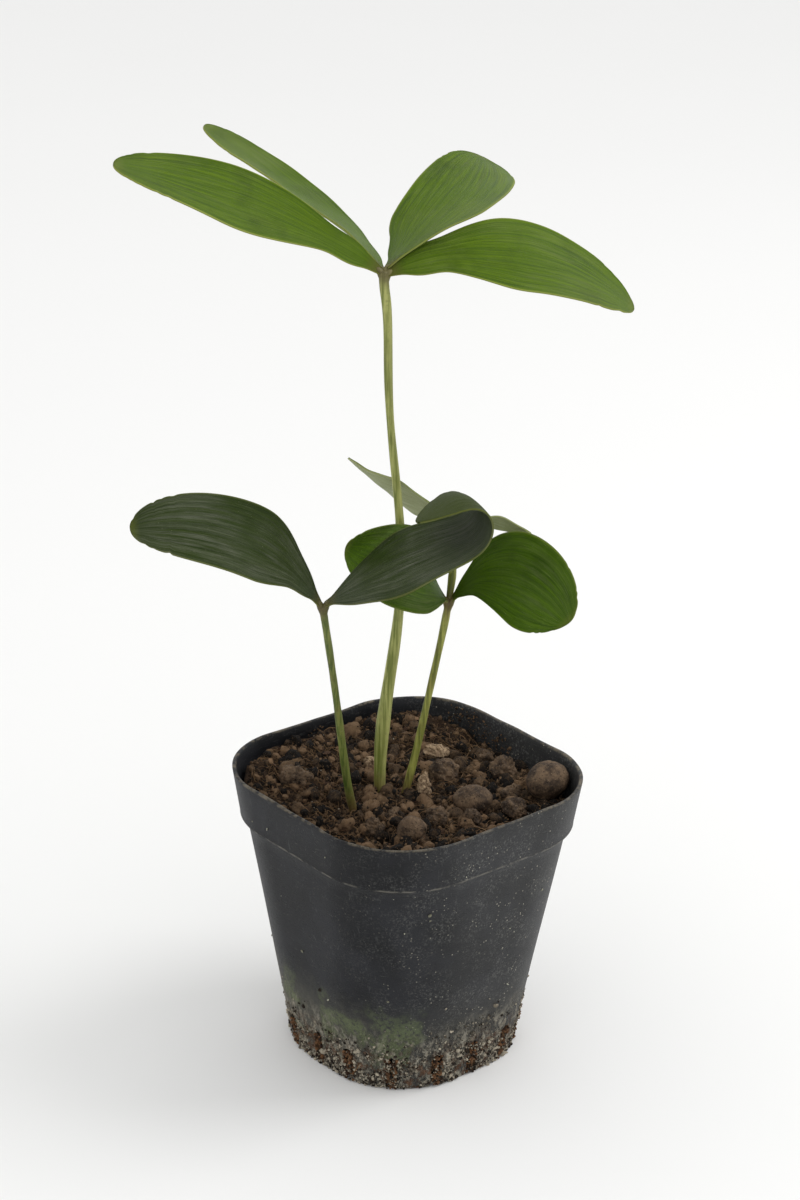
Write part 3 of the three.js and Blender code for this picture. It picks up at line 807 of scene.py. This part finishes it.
def roughened(node, finish, swell, depth, scale):
    """A finely divided copy of a lump, with noise of a depth and a scale on its skin."""
    points, triangles = welded(node)
    made = make_piece("fine_" + node, points, triangles.tolist(), finish, [node])
    divide = made.modifiers.new("divide", "SUBSURF")
    divide.levels = 3 if len(triangles) < 100 else 2
    mesh = bpy.data.meshes.new_from_object(made.evaluated_get(bpy.context.evaluated_depsgraph_get()))
    made.modifiers.clear()
    made.data = mesh
    middle = Vector(points.mean(axis=0))
    for vertex in mesh.vertices:
        spoke = vertex.co - middle
        skin = noise.fractal(vertex.co * scale, 0.75, 2.0, 5) * depth
        vertex.co = middle + spoke * swell + spoke.normalized() * skin
    return made


clay = clay_finish()
bark = bark_finish()
for node in sorted(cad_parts):
    if node.startswith("clay_pebble"):
        smooth_one = node.endswith(("rim", "long", "front"))
        roughened(node, clay, 1.07, (0.4 if smooth_one else 1.1) * MM, 260 if smooth_one else 380)
    if node.startswith("bark_chip"):
        roughened(node, bark, 1.02, 0.9 * MM, 520)
pebble_centres = []
pebble_radii = []
for node in sorted(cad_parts):
    if node.startswith("clay_pebble"):
        low, high = (np.array(corner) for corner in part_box(node))
        pebble_centres.append((low + high) / 2)
        pebble_radii.append((high - low) / 2)
pebble_dust_at = clinging(pebble_centres, np.array(pebble_radii) * 0.98, 26)
heap("pebble_dust", pebble_dust_at, grain_sizes(len(pebble_dust_at), 2.0, 0.16, 0.2), 0.7,
     crumb_finish, (-0.2, 0.9))

# %% [markdown]
# ## The plant
# The tuber is buried, but a plain brown skin keeps it sound in the model.

# %% Finish of the tuber


def tuber_finish():
    tuber = Finish("tuber", Specular_IOR_Level=0.3)
    place = tuber.where()
    ring = tuber.grain(tuber.where(140, 140, 900), 1.0, 5, 0.6)
    crack = tuber.cells(place, 420)
    colour = tuber.mix(ring.rise(0.3, 0.7), paint(70, 50, 34), paint(128, 98, 68))
    tuber.bump(ring + crack * 0.5, 0.5 * MM, 0.8)
    return tuber.done(colour, 0.75 + ring * 0.1)


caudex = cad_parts["caudex"]
caudex.data.materials.clear()
caudex.data.materials.append(tuber_finish())
print("tuber", caudex.name)

# %% [markdown]
# A blade in the construction model is a coarse row of ten-sided sections. Its shape can be
# read back: the first section's middle is the one corner at the foot with ten neighbours, and
# each further section is one step away from the last. From the sections come the middle line,
# the width, the direction across and the depth of the trough, which can then be drawn again
# as finely as wanted.

# %% Read a blade's sections
SECTION = 10


def neighbours_of(triangles, count):
    near = [set() for _ in range(count)]
    for a, b, c in triangles:
        near[a] |= {b, c}
        near[b] |= {a, c}
        near[c] |= {a, b}
    return near


def walk_ring(members, near):
    """The members of one section in order round it."""
    order = [min(members)]
    while len(order) < len(members):
        step = [i for i in near[order[-1]] & members if i not in order]
        order.append(min(step))
    return order


def sections_of(node, stem_top):
    """A blade's sections from foot to tip, each starting at the same margin, upper face first."""
    points, triangles = welded(node)
    near = neighbours_of(triangles, len(points))
    ends = [i for i, links in enumerate(near) if len(links) == SECTION]
    foot = min(ends, key=lambda i: np.linalg.norm(points[i] - stem_top))
    seen = {foot}
    level = near[foot]
    sections = []
    while len(level) == SECTION:
        ring = points[walk_ring(level, near)]
        sections.append(ring)
        seen |= level
        level = set().union(*(near[i] for i in level)) - seen
    return lined_up(np.array(sections))


def lined_up(sections):
    """Turns every section so that the margins and faces match along the blade."""
    spans = [np.linalg.norm(sections[0][k] - sections[0][k + SECTION // 2]) for k in range(SECTION // 2)]
    lined = [np.roll(sections[0], -int(np.argmax(spans)), axis=0)]
    for ring in sections[1:]:
        ways = [np.roll(ring[::flip], k, axis=0) for k in range(SECTION) for flip in (1, -1)]
        lined.append(min(ways, key=lambda way: np.linalg.norm(way - lined[-1], axis=1).sum()))
    lined = np.array(lined)
    if lined[1, 1:5, 2].mean() < lined[1, 6:, 2].mean():
        lined = lined[:, [0, *range(SECTION - 1, 0, -1)]]
    return lined


print("section reader ready")

# %% Draw a smooth line through rows


def through(rows, shares):
    """Values on a smooth curve through evenly spaced rows, at shares from 0 to 1."""
    rows = np.asarray(rows)
    last = len(rows) - 1
    padded = np.concatenate([[2 * rows[0] - rows[1]], rows, [2 * rows[-1] - rows[-2]]])
    place = np.clip(np.asarray(shares) * last, 0, last - 1e-9)
    k = place.astype(int)
    t = (place - k).reshape(-1, *[1] * (rows.ndim - 1))
    p0, p1, p2, p3 = (padded[k + i] for i in range(4))
    return 0.5 * (2 * p1 + (p2 - p0) * t + (2 * p0 - 5 * p1 + 4 * p2 - p3) * t ** 2
                  + (3 * p1 - p0 - 3 * p2 + p3) * t ** 3)


print("smooth lines ready")

# %% [markdown]
# A cardboard palm's leaflet is stiff, with parallel veins, a slightly rolled pale margin and
# a few blunt teeth near the tip. It has no stalk of its own: its foot narrows down to the stem.
# The fine blade has a real thickness and a rounded rim. Gentle waves, different on each
# leaflet, keep its gloss from looking machine-made.

# %% Build a fine blade
ROWS = 150
COLUMNS = 27
BLADE_HALF_THICK = 0.33 * MM
ROW_CROWDING = 1.35
CUP_LEVEL = 0.33
FOOT_AT = 0.09
FOOT_SPREAD = 0.075
FOOT_RUN = 0.2
FOOT_PULL = 0.72


def blade_frame(sections, shares):
    """Middle line, across, face, half-width and trough of a blade at shares of its length."""
    middle = (sections + sections[:, [0, *range(SECTION - 1, 0, -1)]]) / 2
    chord = (middle[:, 0] + middle[:, 5]) / 2
    across = unit(middle[:, 0] - middle[:, 5])
    upper = sections[:, 2:4].mean(axis=1) - sections[:, 7:9].mean(axis=1)
    face = unit(upper - across * np.einsum("ij,ij->i", upper, across)[:, None])
    half = np.linalg.norm(middle[:, 0] - middle[:, 5], axis=1) / 2
    sag = np.einsum("ij,ij->i", chord - middle[:, 2:4].mean(axis=1), face)
    trough = sag / (1 - cos(radians(72)) ** 2)
    centre = chord - face * (trough * (1 - CUP_LEVEL))[:, None]
    wide = np.sqrt(np.maximum(through(half ** 2, shares), (0.3 * MM) ** 2))
    return (through(centre, shares), unit(through(across, shares)), unit(through(face, shares)), wide,
            through(trough, shares))


def toothed(shares, half):
    """The half-width of one margin, with a few blunt teeth towards the tip."""
    notch = np.zeros_like(shares)
    for place in chance.uniform(0.80, 0.985, 5):
        depth = chance.uniform(0.1, 0.35) * MM
        notch += depth * np.exp(-((shares - place) / chance.uniform(0.006, 0.014)) ** 2)
    return half - np.minimum(notch, half * 0.12)


def fine_blade(node, join, finish, wave, foot_width, tip_share, roll):
    sections = sections_of(node, join)
    shares = 1 - (1 - np.linspace(0, 1, ROWS)) ** ROW_CROWDING
    centre, across, face, half, trough = blade_frame(sections, shares)
    across, face = across * cos(roll) + face * sin(roll), face * cos(roll) - across * sin(roll)
    half = half + foot_width * np.exp(-((shares - FOOT_AT) / FOOT_SPREAD) ** 2)
    half = half * (1 + tip_share * np.clip((shares - 0.7) / 0.2, 0, 1))
    pull = np.clip(1 - shares / FOOT_RUN, 0, 1)[:, None] ** 2
    centre = centre + (join - centre[0]) * FOOT_PULL * pull
    side = np.sin(np.linspace(-1, 1, COLUMNS) * pi / 2)
    right, left = toothed(shares, half), toothed(shares, half)
    reach = np.where(side[None] > 0, right[:, None], left[:, None])
    beats = chance.uniform(0.9, 2.2, 4)
    phases = chance.uniform(0, 2 * pi, 4)
    run = shares[:, None] * 2 * pi
    ripple = (np.sin(run * beats[0] + phases[0]) * np.maximum(side, 0)[None] ** 2
              + np.sin(run * beats[1] + phases[1]) * np.maximum(-side, 0)[None] ** 2
              + 0.5 * np.sin(run * beats[2] + side[None] * 2.4 + phases[2])
              + 0.25 * np.sin(run * beats[3] * 2.3 - side[None] * 4 + phases[3]))
    lift = trough[:, None] * (side[None] ** 2 - CUP_LEVEL)
    lift = lift + ripple * wave * np.sin(shares * pi)[:, None] ** 0.6
    middle = centre[:, None] + across[:, None] * (side[None] * reach)[..., None]
    middle = middle + face[:, None] * lift[..., None]
    rolled = 0.35 * np.exp(-((np.abs(side) - 0.97) / 0.02) ** 2)
    thick = BLADE_HALF_THICK * (1 - 0.45 * np.abs(side) ** 3 + rolled)
    top = middle + face[:, None] * thick[None, :, None]
    under = middle - face[:, None] * thick[None, :, None]
    rim = across[:, None] * 0.14 * MM
    rings = np.concatenate([top[:, ::-1], middle[:, :1] - rim, under, middle[:, -1:] + rim], axis=1)
    points, faces = loft(rings)
    made = make_piece("blade_" + node.removeprefix("leaflet_"), points, faces, finish, [node])
    across_row = np.concatenate([side[::-1], [-1.04], side, [1.04]])
    upper_row = np.concatenate([np.ones(COLUMNS), [0.5], np.zeros(COLUMNS), [0.5]])
    data = np.zeros((len(points), 3))
    data[:-2, 0] = np.tile(across_row, ROWS)
    data[:-2, 1] = np.repeat(shares, len(across_row))
    data[:-2, 2] = np.tile(upper_row, ROWS)
    data[-1, 1] = 1
    store(made, "blade", data)
    return made, centre[0], unit(centre[4] - centre[0])


print("blade builder ready:", ROWS, "rows of", 2 * COLUMNS + 2, "points")

# %% [markdown]
# The finish follows the blade. Along-and-across numbers stored in the mesh stretch the noise
# into streaks that run with the veins. The upper face is green with greyish patches and light
# streaks in places, partly a dry bloom and partly a painted sheen that stands for the pale
# surround reflected at a glancing angle; the underside is paler, the margin is a thin yellowish
# line, and a few specks and old spots are scattered about.

# %% Finish of a leaflet


def leaflet_finish(name, green, light, sheen, bloom_and_sheen, under, under_light, edge):
    leaf = Finish(name, Specular_IOR_Level=0.1)
    side, share, upper = leaf.stored("blade")
    place = leaf.where()

    def run(across, along):
        return leaf.node("ShaderNodeCombineXYZ", {}, {0: side * across, 1: share * along, 2: 0.0})

    streak = leaf.grain(run(13.0, 2.0), 1.0, 6, 0.65)
    fine = leaf.grain(run(42.0, 3.4), 1.0, 4, 0.65)
    vein = (side * 96 + leaf.grain(run(3.0, 3.0), 1.0, 2) * 9).wave()
    cloud = leaf.grain(place, 70, 5, 0.6)
    dust_and_sheen = leaf.grain(run(8.0, 2.2), 1.0, 6, 0.75, 0.2).rise(0.36, 0.70)
    dust_and_sheen = dust_and_sheen * leaf.grain(place, 42, 3).rise(0.36, 0.62)
    margin = side.size().rise(0.965, 0.99)
    foot = 1 - share.rise(0.0, 0.06)
    tip = share.rise(0.95, 1.0)
    spot = 1 - leaf.cells(place, 150).rise(0.03, 0.055)
    spot = spot * leaf.grain(place, 70, 2).rise(0.60, 0.64)
    scurf = leaf.grain(place, 2600, 2).rise(0.69, 0.75)
    lines = leaf.grain(run(62.0, 6.5), 1.0, 5, 0.75)
    colour = leaf.mix(streak.rise(0.28, 0.74), green, light)
    colour = leaf.mix((1 - fine.rise(0.34, 0.50)) * 0.5, colour, paint(30, 50, 0))
    colour = leaf.mix(vein.rise(0.55, 1.0) * 0.10, colour, light)
    colour = leaf.mix(cloud.rise(0.50, 0.72) * 0.4, colour, paint(34, 56, 0))
    # Painted sheen: greyish patches, partly the leaf's dry bloom and partly a painted reflection of the pale
    # surround.
    colour = leaf.mix((dust_and_sheen * 0.95 + 0.05) * (lines.rise(0.30, 0.62) * 0.7 + 0.3) * bloom_and_sheen, colour, sheen)
    # Painted sheen: light streaks in the sheen colour.
    colour = leaf.mix(lines.rise(0.58, 0.68) * 0.3, colour, sheen)
    colour = leaf.mix(scurf * 0.3, colour, paint(160, 164, 128))
    colour = leaf.mix(tip * 0.25, colour, paint(140, 146, 66))
    colour = leaf.mix(spot * 0.75, colour, paint(52, 42, 22))
    pale = leaf.mix(fine.rise(0.32, 0.68), under, under_light)
    pale = leaf.mix(streak.rise(0.5, 0.7) * 0.3, pale, green)
    colour = leaf.mix(upper.rise(0.3, 0.7), pale, colour)
    colour = leaf.mix(margin * edge, colour, paint(158, 162, 84))
    colour = leaf.mix(foot * 0.65, colour, paint(104, 98, 52))
    rough = streak * 0.12 + dust_and_sheen * 0.2 + (1 - upper.rise(0.3, 0.7)) * 0.15 + 0.36
    relief = vein * 0.08 + fine * 0.5 + lines * 0.5 + streak * 0.4 + scurf * 0.3 + cloud * 0.8
    leaf.bump(relief, 0.3 * MM, 0.9)
    return leaf.done(colour, rough)


print("leaflet finish ready")

# %% Make the blades
# The third colour of each green is its sheen: partly the leaf's bloom, partly a painted reflection of the pale
# surround. In the looks, the number after the greens is how strong it is.
TALL_GREEN = (paint(56, 84, 0), paint(90, 116, 0), paint(126, 138, 84))
LOW_GREEN = (paint(48, 76, 0), paint(76, 106, 4), paint(128, 138, 92))
OLIVE = (paint(28, 42, 4), paint(48, 62, 14), paint(116, 118, 104))
MATT_UNDER = (paint(96, 114, 52), paint(140, 152, 94))
SHADED_UNDER = (paint(44, 56, 14), paint(66, 76, 30))
PALE_UNDER = (paint(130, 138, 92), paint(178, 184, 146))
LOOKS = {
    "leaflet_tall_left_front": (*TALL_GREEN, 0.30, *MATT_UNDER, 0.6),
    "leaflet_tall_left_back": (*TALL_GREEN, 0.75, *MATT_UNDER, 0.5),
    "leaflet_tall_right_back": (*TALL_GREEN, 0.50, *MATT_UNDER, 0.4),
    "leaflet_tall_right_front": (*TALL_GREEN, 0.42, *MATT_UNDER, 0.5),
    "leaflet_left_outer": (*OLIVE, 0.60, *MATT_UNDER, 0.2),
    "leaflet_left_folded": (*OLIVE, 0.80, *SHADED_UNDER, 0.2),
    "leaflet_right_outer": (*LOW_GREEN, 0.26, *MATT_UNDER, 0.2),
    "leaflet_right_inner": (*LOW_GREEN, 0.60, *MATT_UNDER, 0.2),
    "leaflet_right_upper_left": (*LOW_GREEN, 0.20, *PALE_UNDER, 0.3),
    "leaflet_right_upper_right": (*LOW_GREEN, 0.20, *PALE_UNDER, 0.3),
}


def stem_name(leaflet):
    return "petiole_" + leaflet.split("_")[1]


JOIN_DROP = 3.2 * MM
STUBS_DROP = 6 * MM
HELD_DROP = 2 * MM
SLOPE_RUN = 12 * MM


def middle_of(stem):
    """A construction stem's corners below its top, and its middle line as a function of height."""
    points, _ = welded(stem)
    top = points[:, 2].max() - STUBS_DROP
    points = points[points[:, 2] < top]
    fits = [np.polynomial.Polynomial.fit(points[:, 2], points[:, k], 6) for k in (0, 1)]

    def line(z):
        z = np.asarray(z, dtype=float)
        last = top - HELD_DROP
        held = np.minimum(z, last)
        slopes = [(fit(last) - fit(last - SLOPE_RUN)) / SLOPE_RUN for fit in fits]
        sideways = [fit(held) + slope * (z - held) for fit, slope in zip(fits, slopes)]
        return np.stack([*sideways, z], axis=-1)

    return points, line


def join_of(node):
    """Where a leaflet meets its stem: on the middle line, a little below the leaflet's foot."""
    points, _ = welded(node)
    _, line = middle_of(stem_name(node))
    near = points[np.argmin(np.linalg.norm(points - line(points[:, 2]), axis=1))]
    return line(near[2] - JOIN_DROP)


FOOT_WIDTHS = {"tall": 2.3 * MM, "left": 1.4 * MM, "right": 0.7 * MM}
FOLDED_TIP = 0.2
UPPER_ROLL = -0.6


def shape_of(node):
    """How much wider a blade is at its foot and its tip, and how far it is rolled."""
    return (FOOT_WIDTHS[node.split("_")[1]], FOLDED_TIP if node.endswith("folded") else 0,
            UPPER_ROLL if node.endswith("upper_right") else 0)


feet = {}
for node, look in LOOKS.items():
    finish = leaflet_finish(node.replace("leaflet", "leaf"), *look)
    blade, foot, start = fine_blade(node, join_of(node), finish, 0.3 * MM, *shape_of(node))
    feet.setdefault(stem_name(node), []).append((foot, start))
    print(blade.name, len(blade.data.polygons), "faces")

# %% [markdown]
# A leaf stem is a firm round stalk, thicker where it leaves the tuber, pale yellow-green and
# streaked, with a brown collar where the leaflets join. The construction stem is upright
# enough to be read by height: a smooth curve through its corners gives the middle line, and
# their distance from it gives the thickness. A short swollen joint then leads out to each leaflet.

# %% Build the stems
STEM_SIDES = 18
NECK_DROP = 3.6 * MM


def tube(path, radii, sides=STEM_SIDES):
    """Rings of a round stalk along a path."""
    along = unit(np.gradient(path, axis=0))
    side = unit(np.cross(along, (0.0, 1.0, 0.08)))
    over = np.cross(along, side)
    angles = np.arange(sides) / sides * 2 * pi
    ring = side[:, None] * np.cos(angles)[None, :, None] + over[:, None] * np.sin(angles)[None, :, None]
    return path[:, None] + ring * np.asarray(radii)[:, None, None]


def middle_line(stem, top):
    """Middle line and radii of a construction stem up to a height."""
    points, line = middle_of(stem)
    low = points[:, 2].min()
    radius = np.linalg.norm(points - line(points[:, 2]), axis=1)
    levels = np.linspace(low, points[:, 2].max(), 15)
    nearest_level = np.abs(points[:, 2][:, None] - levels[None]).argmin(axis=1)
    known = [k for k in range(15) if (nearest_level == k).any()]
    thickness = [np.median(radius[nearest_level == k]) for k in known]
    z = np.linspace(low, top, 170)
    return line(z), np.interp(z, levels[known], thickness)


def neck(path, radii, foot, start):
    """The short swollen joint between a stem and the foot of a leaflet."""
    root_index = int(np.argmin(np.abs(path[:, 2] - (foot[2] - NECK_DROP))))
    root = path[root_index]
    reach = foot + start * 1.6 * MM
    bend = foot - start * 0.6 * MM
    t = np.linspace(0, 1, 22)[:, None]
    curve = root * (1 - t) ** 2 + 2 * bend * t * (1 - t) + reach * t ** 2
    swelling = [radii[root_index] * 0.9, 1.15 * MM, 0.9 * MM, 0.4 * MM]
    thick = np.interp(t[:, 0], [0, 0.5, 0.85, 1], swelling)
    return loft(tube(curve, thick, 14))


def merged(parts):
    points = []
    faces = []
    for part_points, part_faces in parts:
        faces += [[index + len(points) for index in face] for face in part_faces]
        points += part_points.tolist()
    return np.array(points), faces


print("stem builder ready")

# %% Finish of the stems


def stem_finish(name, green, light, blush):
    stem = Finish(name, Specular_IOR_Level=0.4)
    place = stem.where()
    streak = stem.grain(stem.where(1100, 1100, 45), 1.0, 4, 0.6)
    cloud = stem.grain(place, 150, 4, 0.6)
    scale = stem.grain(place, 1900, 3, 0.7).rise(0.58, 0.68)
    collar, base, lit = stem.stored("stalk")
    colour = stem.mix(streak.rise(0.35, 0.68), green, light)
    colour = stem.mix(cloud.rise(0.5, 0.75) * 0.35, colour, blush)
    colour = stem.mix(lit * 0.5, colour, light)
    colour = stem.mix(scale * 0.45, colour, paint(120, 112, 70))
    colour = stem.mix(collar * 0.75, colour, paint(74, 58, 34))
    colour = stem.mix(base * 0.7, colour, paint(92, 56, 40))
    stem.bump(streak * 0.6 + scale * 0.5, 0.25 * MM, 0.8)
    return stem.done(colour, 0.44 + cloud * 0.14)


STEM_LOOKS = {
    "petiole_tall": (paint(102, 112, 42), paint(172, 174, 104), paint(84, 82, 32)),
    "petiole_left": (paint(66, 84, 26), paint(118, 124, 60), paint(88, 62, 40)),
    "petiole_right": (paint(90, 98, 32), paint(156, 158, 78), paint(112, 76, 48)),
}
print("stem finish ready")

# %% Make the stems
for stem, look in STEM_LOOKS.items():
    joins = [foot for foot, _ in feet[stem]]
    path, radii = middle_line(stem, max(foot[2] for foot in joins) - 0.4 * MM)
    radii = radii * (1 + 0.03 * np.sin(np.linspace(0, 40, len(radii))))
    parts = [loft(tube(path, radii))] + [neck(path, radii, foot, start) for foot, start in feet[stem]]
    points, faces = merged(parts)
    finish = stem_finish(stem, *look)
    stalk = make_piece("stem_" + stem.split("_")[1], points, faces, finish, [stem])
    nearest_join = np.min([np.linalg.norm(points - foot, axis=1) for foot in joins], axis=0)
    collar = np.exp(-((nearest_join - 1.0 * MM) / (2.6 * MM)) ** 2)
    base = np.clip(1 - (points[:, 2] - 0.88 * POT_HEIGHT) / (9 * MM), 0, 1)
    centre_x = np.interp(points[:, 2], path[:, 2], path[:, 0])
    centre_y = np.interp(points[:, 2], path[:, 2], path[:, 1])
    rightward = ((points[:, 0] - centre_x) * RIGHT.x + (points[:, 1] - centre_y) * RIGHT.y) / (1.5 * MM)
    store(stalk, "stalk", np.stack([collar, base, np.clip(rightward, 0, 1)], axis=1))
    print(stalk.name, len(faces), "faces,", round(radii.mean() * 2 / MM, 1), "mm thick on average")

# %% [markdown]
# ## Dirt round the slots
# Peat and roots swell out of the drain slots, and lime grains crust the wall beside them. They
# are real crumbs and threads, because they break the pot's outline at the base.

# %% Crumbs and roots in the slots


def wall_radius(angle, z):
    """Distance from the pot's axis to the outside of its wall in a direction."""
    half, corner = wall_half(z)
    c, s = abs(cos(angle)), abs(sin(angle))
    big, small = max(c, s), min(c, s)
    straight = half / big
    if straight * small <= half - corner:
        return straight
    core = half - corner
    along = core * (c + s)
    return along + sqrt(max(along ** 2 - 2 * core ** 2 + corner ** 2, 0))


slot_crumbs = []
slot_roots = []
for slot in range(SLOTS):
    turn = slot / SLOTS * 2 * pi
    for _ in range(120):
        z = chance.uniform(0.5, SLOT_TOP / MM - 0.6) * MM
        angle = turn + chance.uniform(-1, 1) * SLOT_HALF * 0.9 / BASE_HALF
        depth = chance.uniform(-0.5, 1.3) * MM
        radius = wall_radius(angle, z) - depth
        slot_crumbs.append((radius * cos(angle), radius * sin(angle), z))
    for _ in range(7):
        z = np.linspace(chance.uniform(1, 5), chance.uniform(7, 11.5), 8) * MM
        drift = chance.uniform(-0.7, 0.7) + np.cumsum(chance.normal(0, 0.22, 8))
        angle = turn + drift * SLOT_HALF / BASE_HALF
        radius = np.array([wall_radius(a, h) for a, h in zip(angle, z)]) - chance.uniform(-0.1, 0.6) * MM
        slot_roots.append(np.stack([radius * np.cos(angle), radius * np.sin(angle), z], axis=1))
slot_crumbs = np.array(slot_crumbs)
plug_finish = peat_finish("slot_peat", paint(44, 28, 18), paint(128, 92, 62), 1.6)
heap("slot_crumbs", slot_crumbs, chance.uniform(0.6, 1.7, len(slot_crumbs)) * MM, 0.8, plug_finish,
     (-0.3, 0.7))
slot_roots = np.array(slot_roots)
threads("slot_roots", slot_roots, chance.uniform(0.12, 0.26, len(slot_roots)) * MM, fibre_finish,
        (0.0, 0.8))
print("slot crumbs", len(slot_crumbs), "roots", len(slot_roots))

# %% Peat stuck inside the rim
smears = []
while len(smears) < 900:
    angle = chance.uniform(0, 2 * pi)
    z = chance.uniform(0.86, 0.985) * POT_HEIGHT
    cling = noise.noise(Vector((cos(angle) * 3, sin(angle) * 3, z * 90))) + sin(angle) * 0.25
    if cling > (z / POT_HEIGHT - 0.86) * 4.5 - 0.05:
        radius = wall_radius(angle, z) - WALL - 0.15 * MM
        smears.append((radius * cos(angle), radius * sin(angle), z))
smears = np.array(smears)
heap("rim_peat", smears, grain_sizes(len(smears), 2.0, 0.24, 0.2), 0.6, crumb_finish,
     (-0.2, 0.9))
print("crumbs inside the rim", len(smears))

# %% Crust on the lower wall
crust = []
while len(crust) < 7000:
    angle = chance.uniform(0, 2 * pi)
    z = MM * (0.3 + abs(chance.normal(0, 8.5)))
    thin = noise.noise(Vector((cos(angle) * 5, sin(angle) * 5, z * 190)))
    if z < 30 * MM and thin > z * 9 - 0.22:
        radius = wall_radius(angle, z) + 0.02 * MM
        crust.append((radius * cos(angle), radius * sin(angle), z))
crust = np.array(crust)
crust_finish = peat_finish("dried_crust", paint(40, 33, 26), paint(190, 180, 160), 1.4)
heap("wall_crust", crust, grain_sizes(len(crust), 1.3, 0.34, 0.18), 0.7, crust_finish,
     (-0.7, 0.9))
print("crust grains", len(crust))

# %% Pale flecks on the wall
flecks = []
for _ in range(46):
    angle = chance.uniform(0, 2 * pi)
    z = chance.uniform(0.2, 0.97) * POT_HEIGHT
    radius = wall_radius(angle, z)
    flecks.append((radius * cos(angle), radius * sin(angle), z))
flecks = np.array(flecks)
fleck_finish = peat_finish("pale_fleck", paint(130, 128, 110), paint(204, 204, 184), 1.0)
heap("wall_flecks", flecks, grain_sizes(len(flecks), 1.6, 0.32, 0.3), 0.5, fleck_finish,
     (-0.4, 0.6))
print("flecks", len(flecks))

# %% [markdown]
# ## The stage
# The floor is plain and pale. A broad soft light stands high on the right, and a pale surround
# fills in from everywhere, so the shadow beside the pot is faint and soft.

# %% Floor, light and surround


def floor_finish():
    floor = Finish("floor", Specular_IOR_Level=0.15)
    cloud = floor.grain(floor.where(), 3.0, 2)
    return floor.done(floor.mix(cloud, paint(238, 238, 237), paint(240, 240, 239)), 0.9)


FLOOR_HALF = 30.0
floor_mesh = bpy.data.meshes.new("floor")
floor_corners = [(x * FLOOR_HALF, y * FLOOR_HALF, 0) for x, y in ((-1, -1), (1, -1), (1, 1), (-1, 1))]
floor_mesh.from_pydata(floor_corners, [], [(0, 1, 2, 3)])
floor_mesh.materials.append(floor_finish())
floor = bpy.data.objects.new("floor", floor_mesh)
bpy.context.collection.objects.link(floor)

world = bpy.data.worlds.new("studio")
world.use_nodes = True
world.node_tree.nodes["Background"].inputs["Color"].default_value = (1.0, 1.0, 1.0, 1.0)
world.node_tree.nodes["Background"].inputs["Strength"].default_value = 0.96
bpy.context.scene.world = world
bpy.context.scene.view_settings.view_transform = "Standard"
print("floor and surround ready")

# %% Soft lights


def facing(right, away, up):
    """A place given as right, away and up of the pot from where the viewer stands."""
    return Matrix.Rotation(-VIEW_TURN, 4, "Z") @ Vector((right, away, up))


def soft_light(name, place, aim, size, power):
    data = bpy.data.lights.new(name, "AREA")
    data.shape = "SQUARE"
    data.size = size
    data.energy = power
    lamp = bpy.data.objects.new(name, data)
    lamp.location = place
    lamp.rotation_euler = (aim - place).to_track_quat("-Z", "Y").to_euler()
    bpy.context.collection.objects.link(lamp)
    return lamp


middle = Vector((0, 0, 0.14))
soft_light("key", facing(0.85, 0.15, 1.15), middle, 0.6, 5.5)
soft_light("front_fill", facing(-0.4, -1.2, 0.7), middle, 0.9, 0.6)
print("lights ready")

# %% [markdown]
# The viewer stands ten pot-heights away, looking down on the rim, with a moderate long lens.

# %% Camera
CAMERA_REACH = 10 * POT_HEIGHT
CAMERA_CLIMB = 0.547
CAMERA_PITCH = 0.399
camera_data = bpy.data.cameras.new("camera")
camera_data.lens = 86.4
camera_data.sensor_width = 36
camera = bpy.data.objects.new("camera", camera_data)
bpy.context.collection.objects.link(camera)
spot = facing(0, -CAMERA_REACH * cos(CAMERA_CLIMB), CAMERA_REACH * sin(CAMERA_CLIMB))
aim = (Matrix.Rotation(-VIEW_TURN + 0.004, 4, "Z") @ Matrix.Rotation(pi / 2 - CAMERA_PITCH, 4, "X")
       @ Matrix.Rotation(0.018, 4, "Z"))
camera.matrix_world = Matrix.Translation(spot) @ aim
bpy.context.scene.camera = camera
print("camera at", [round(value, 3) for value in spot])
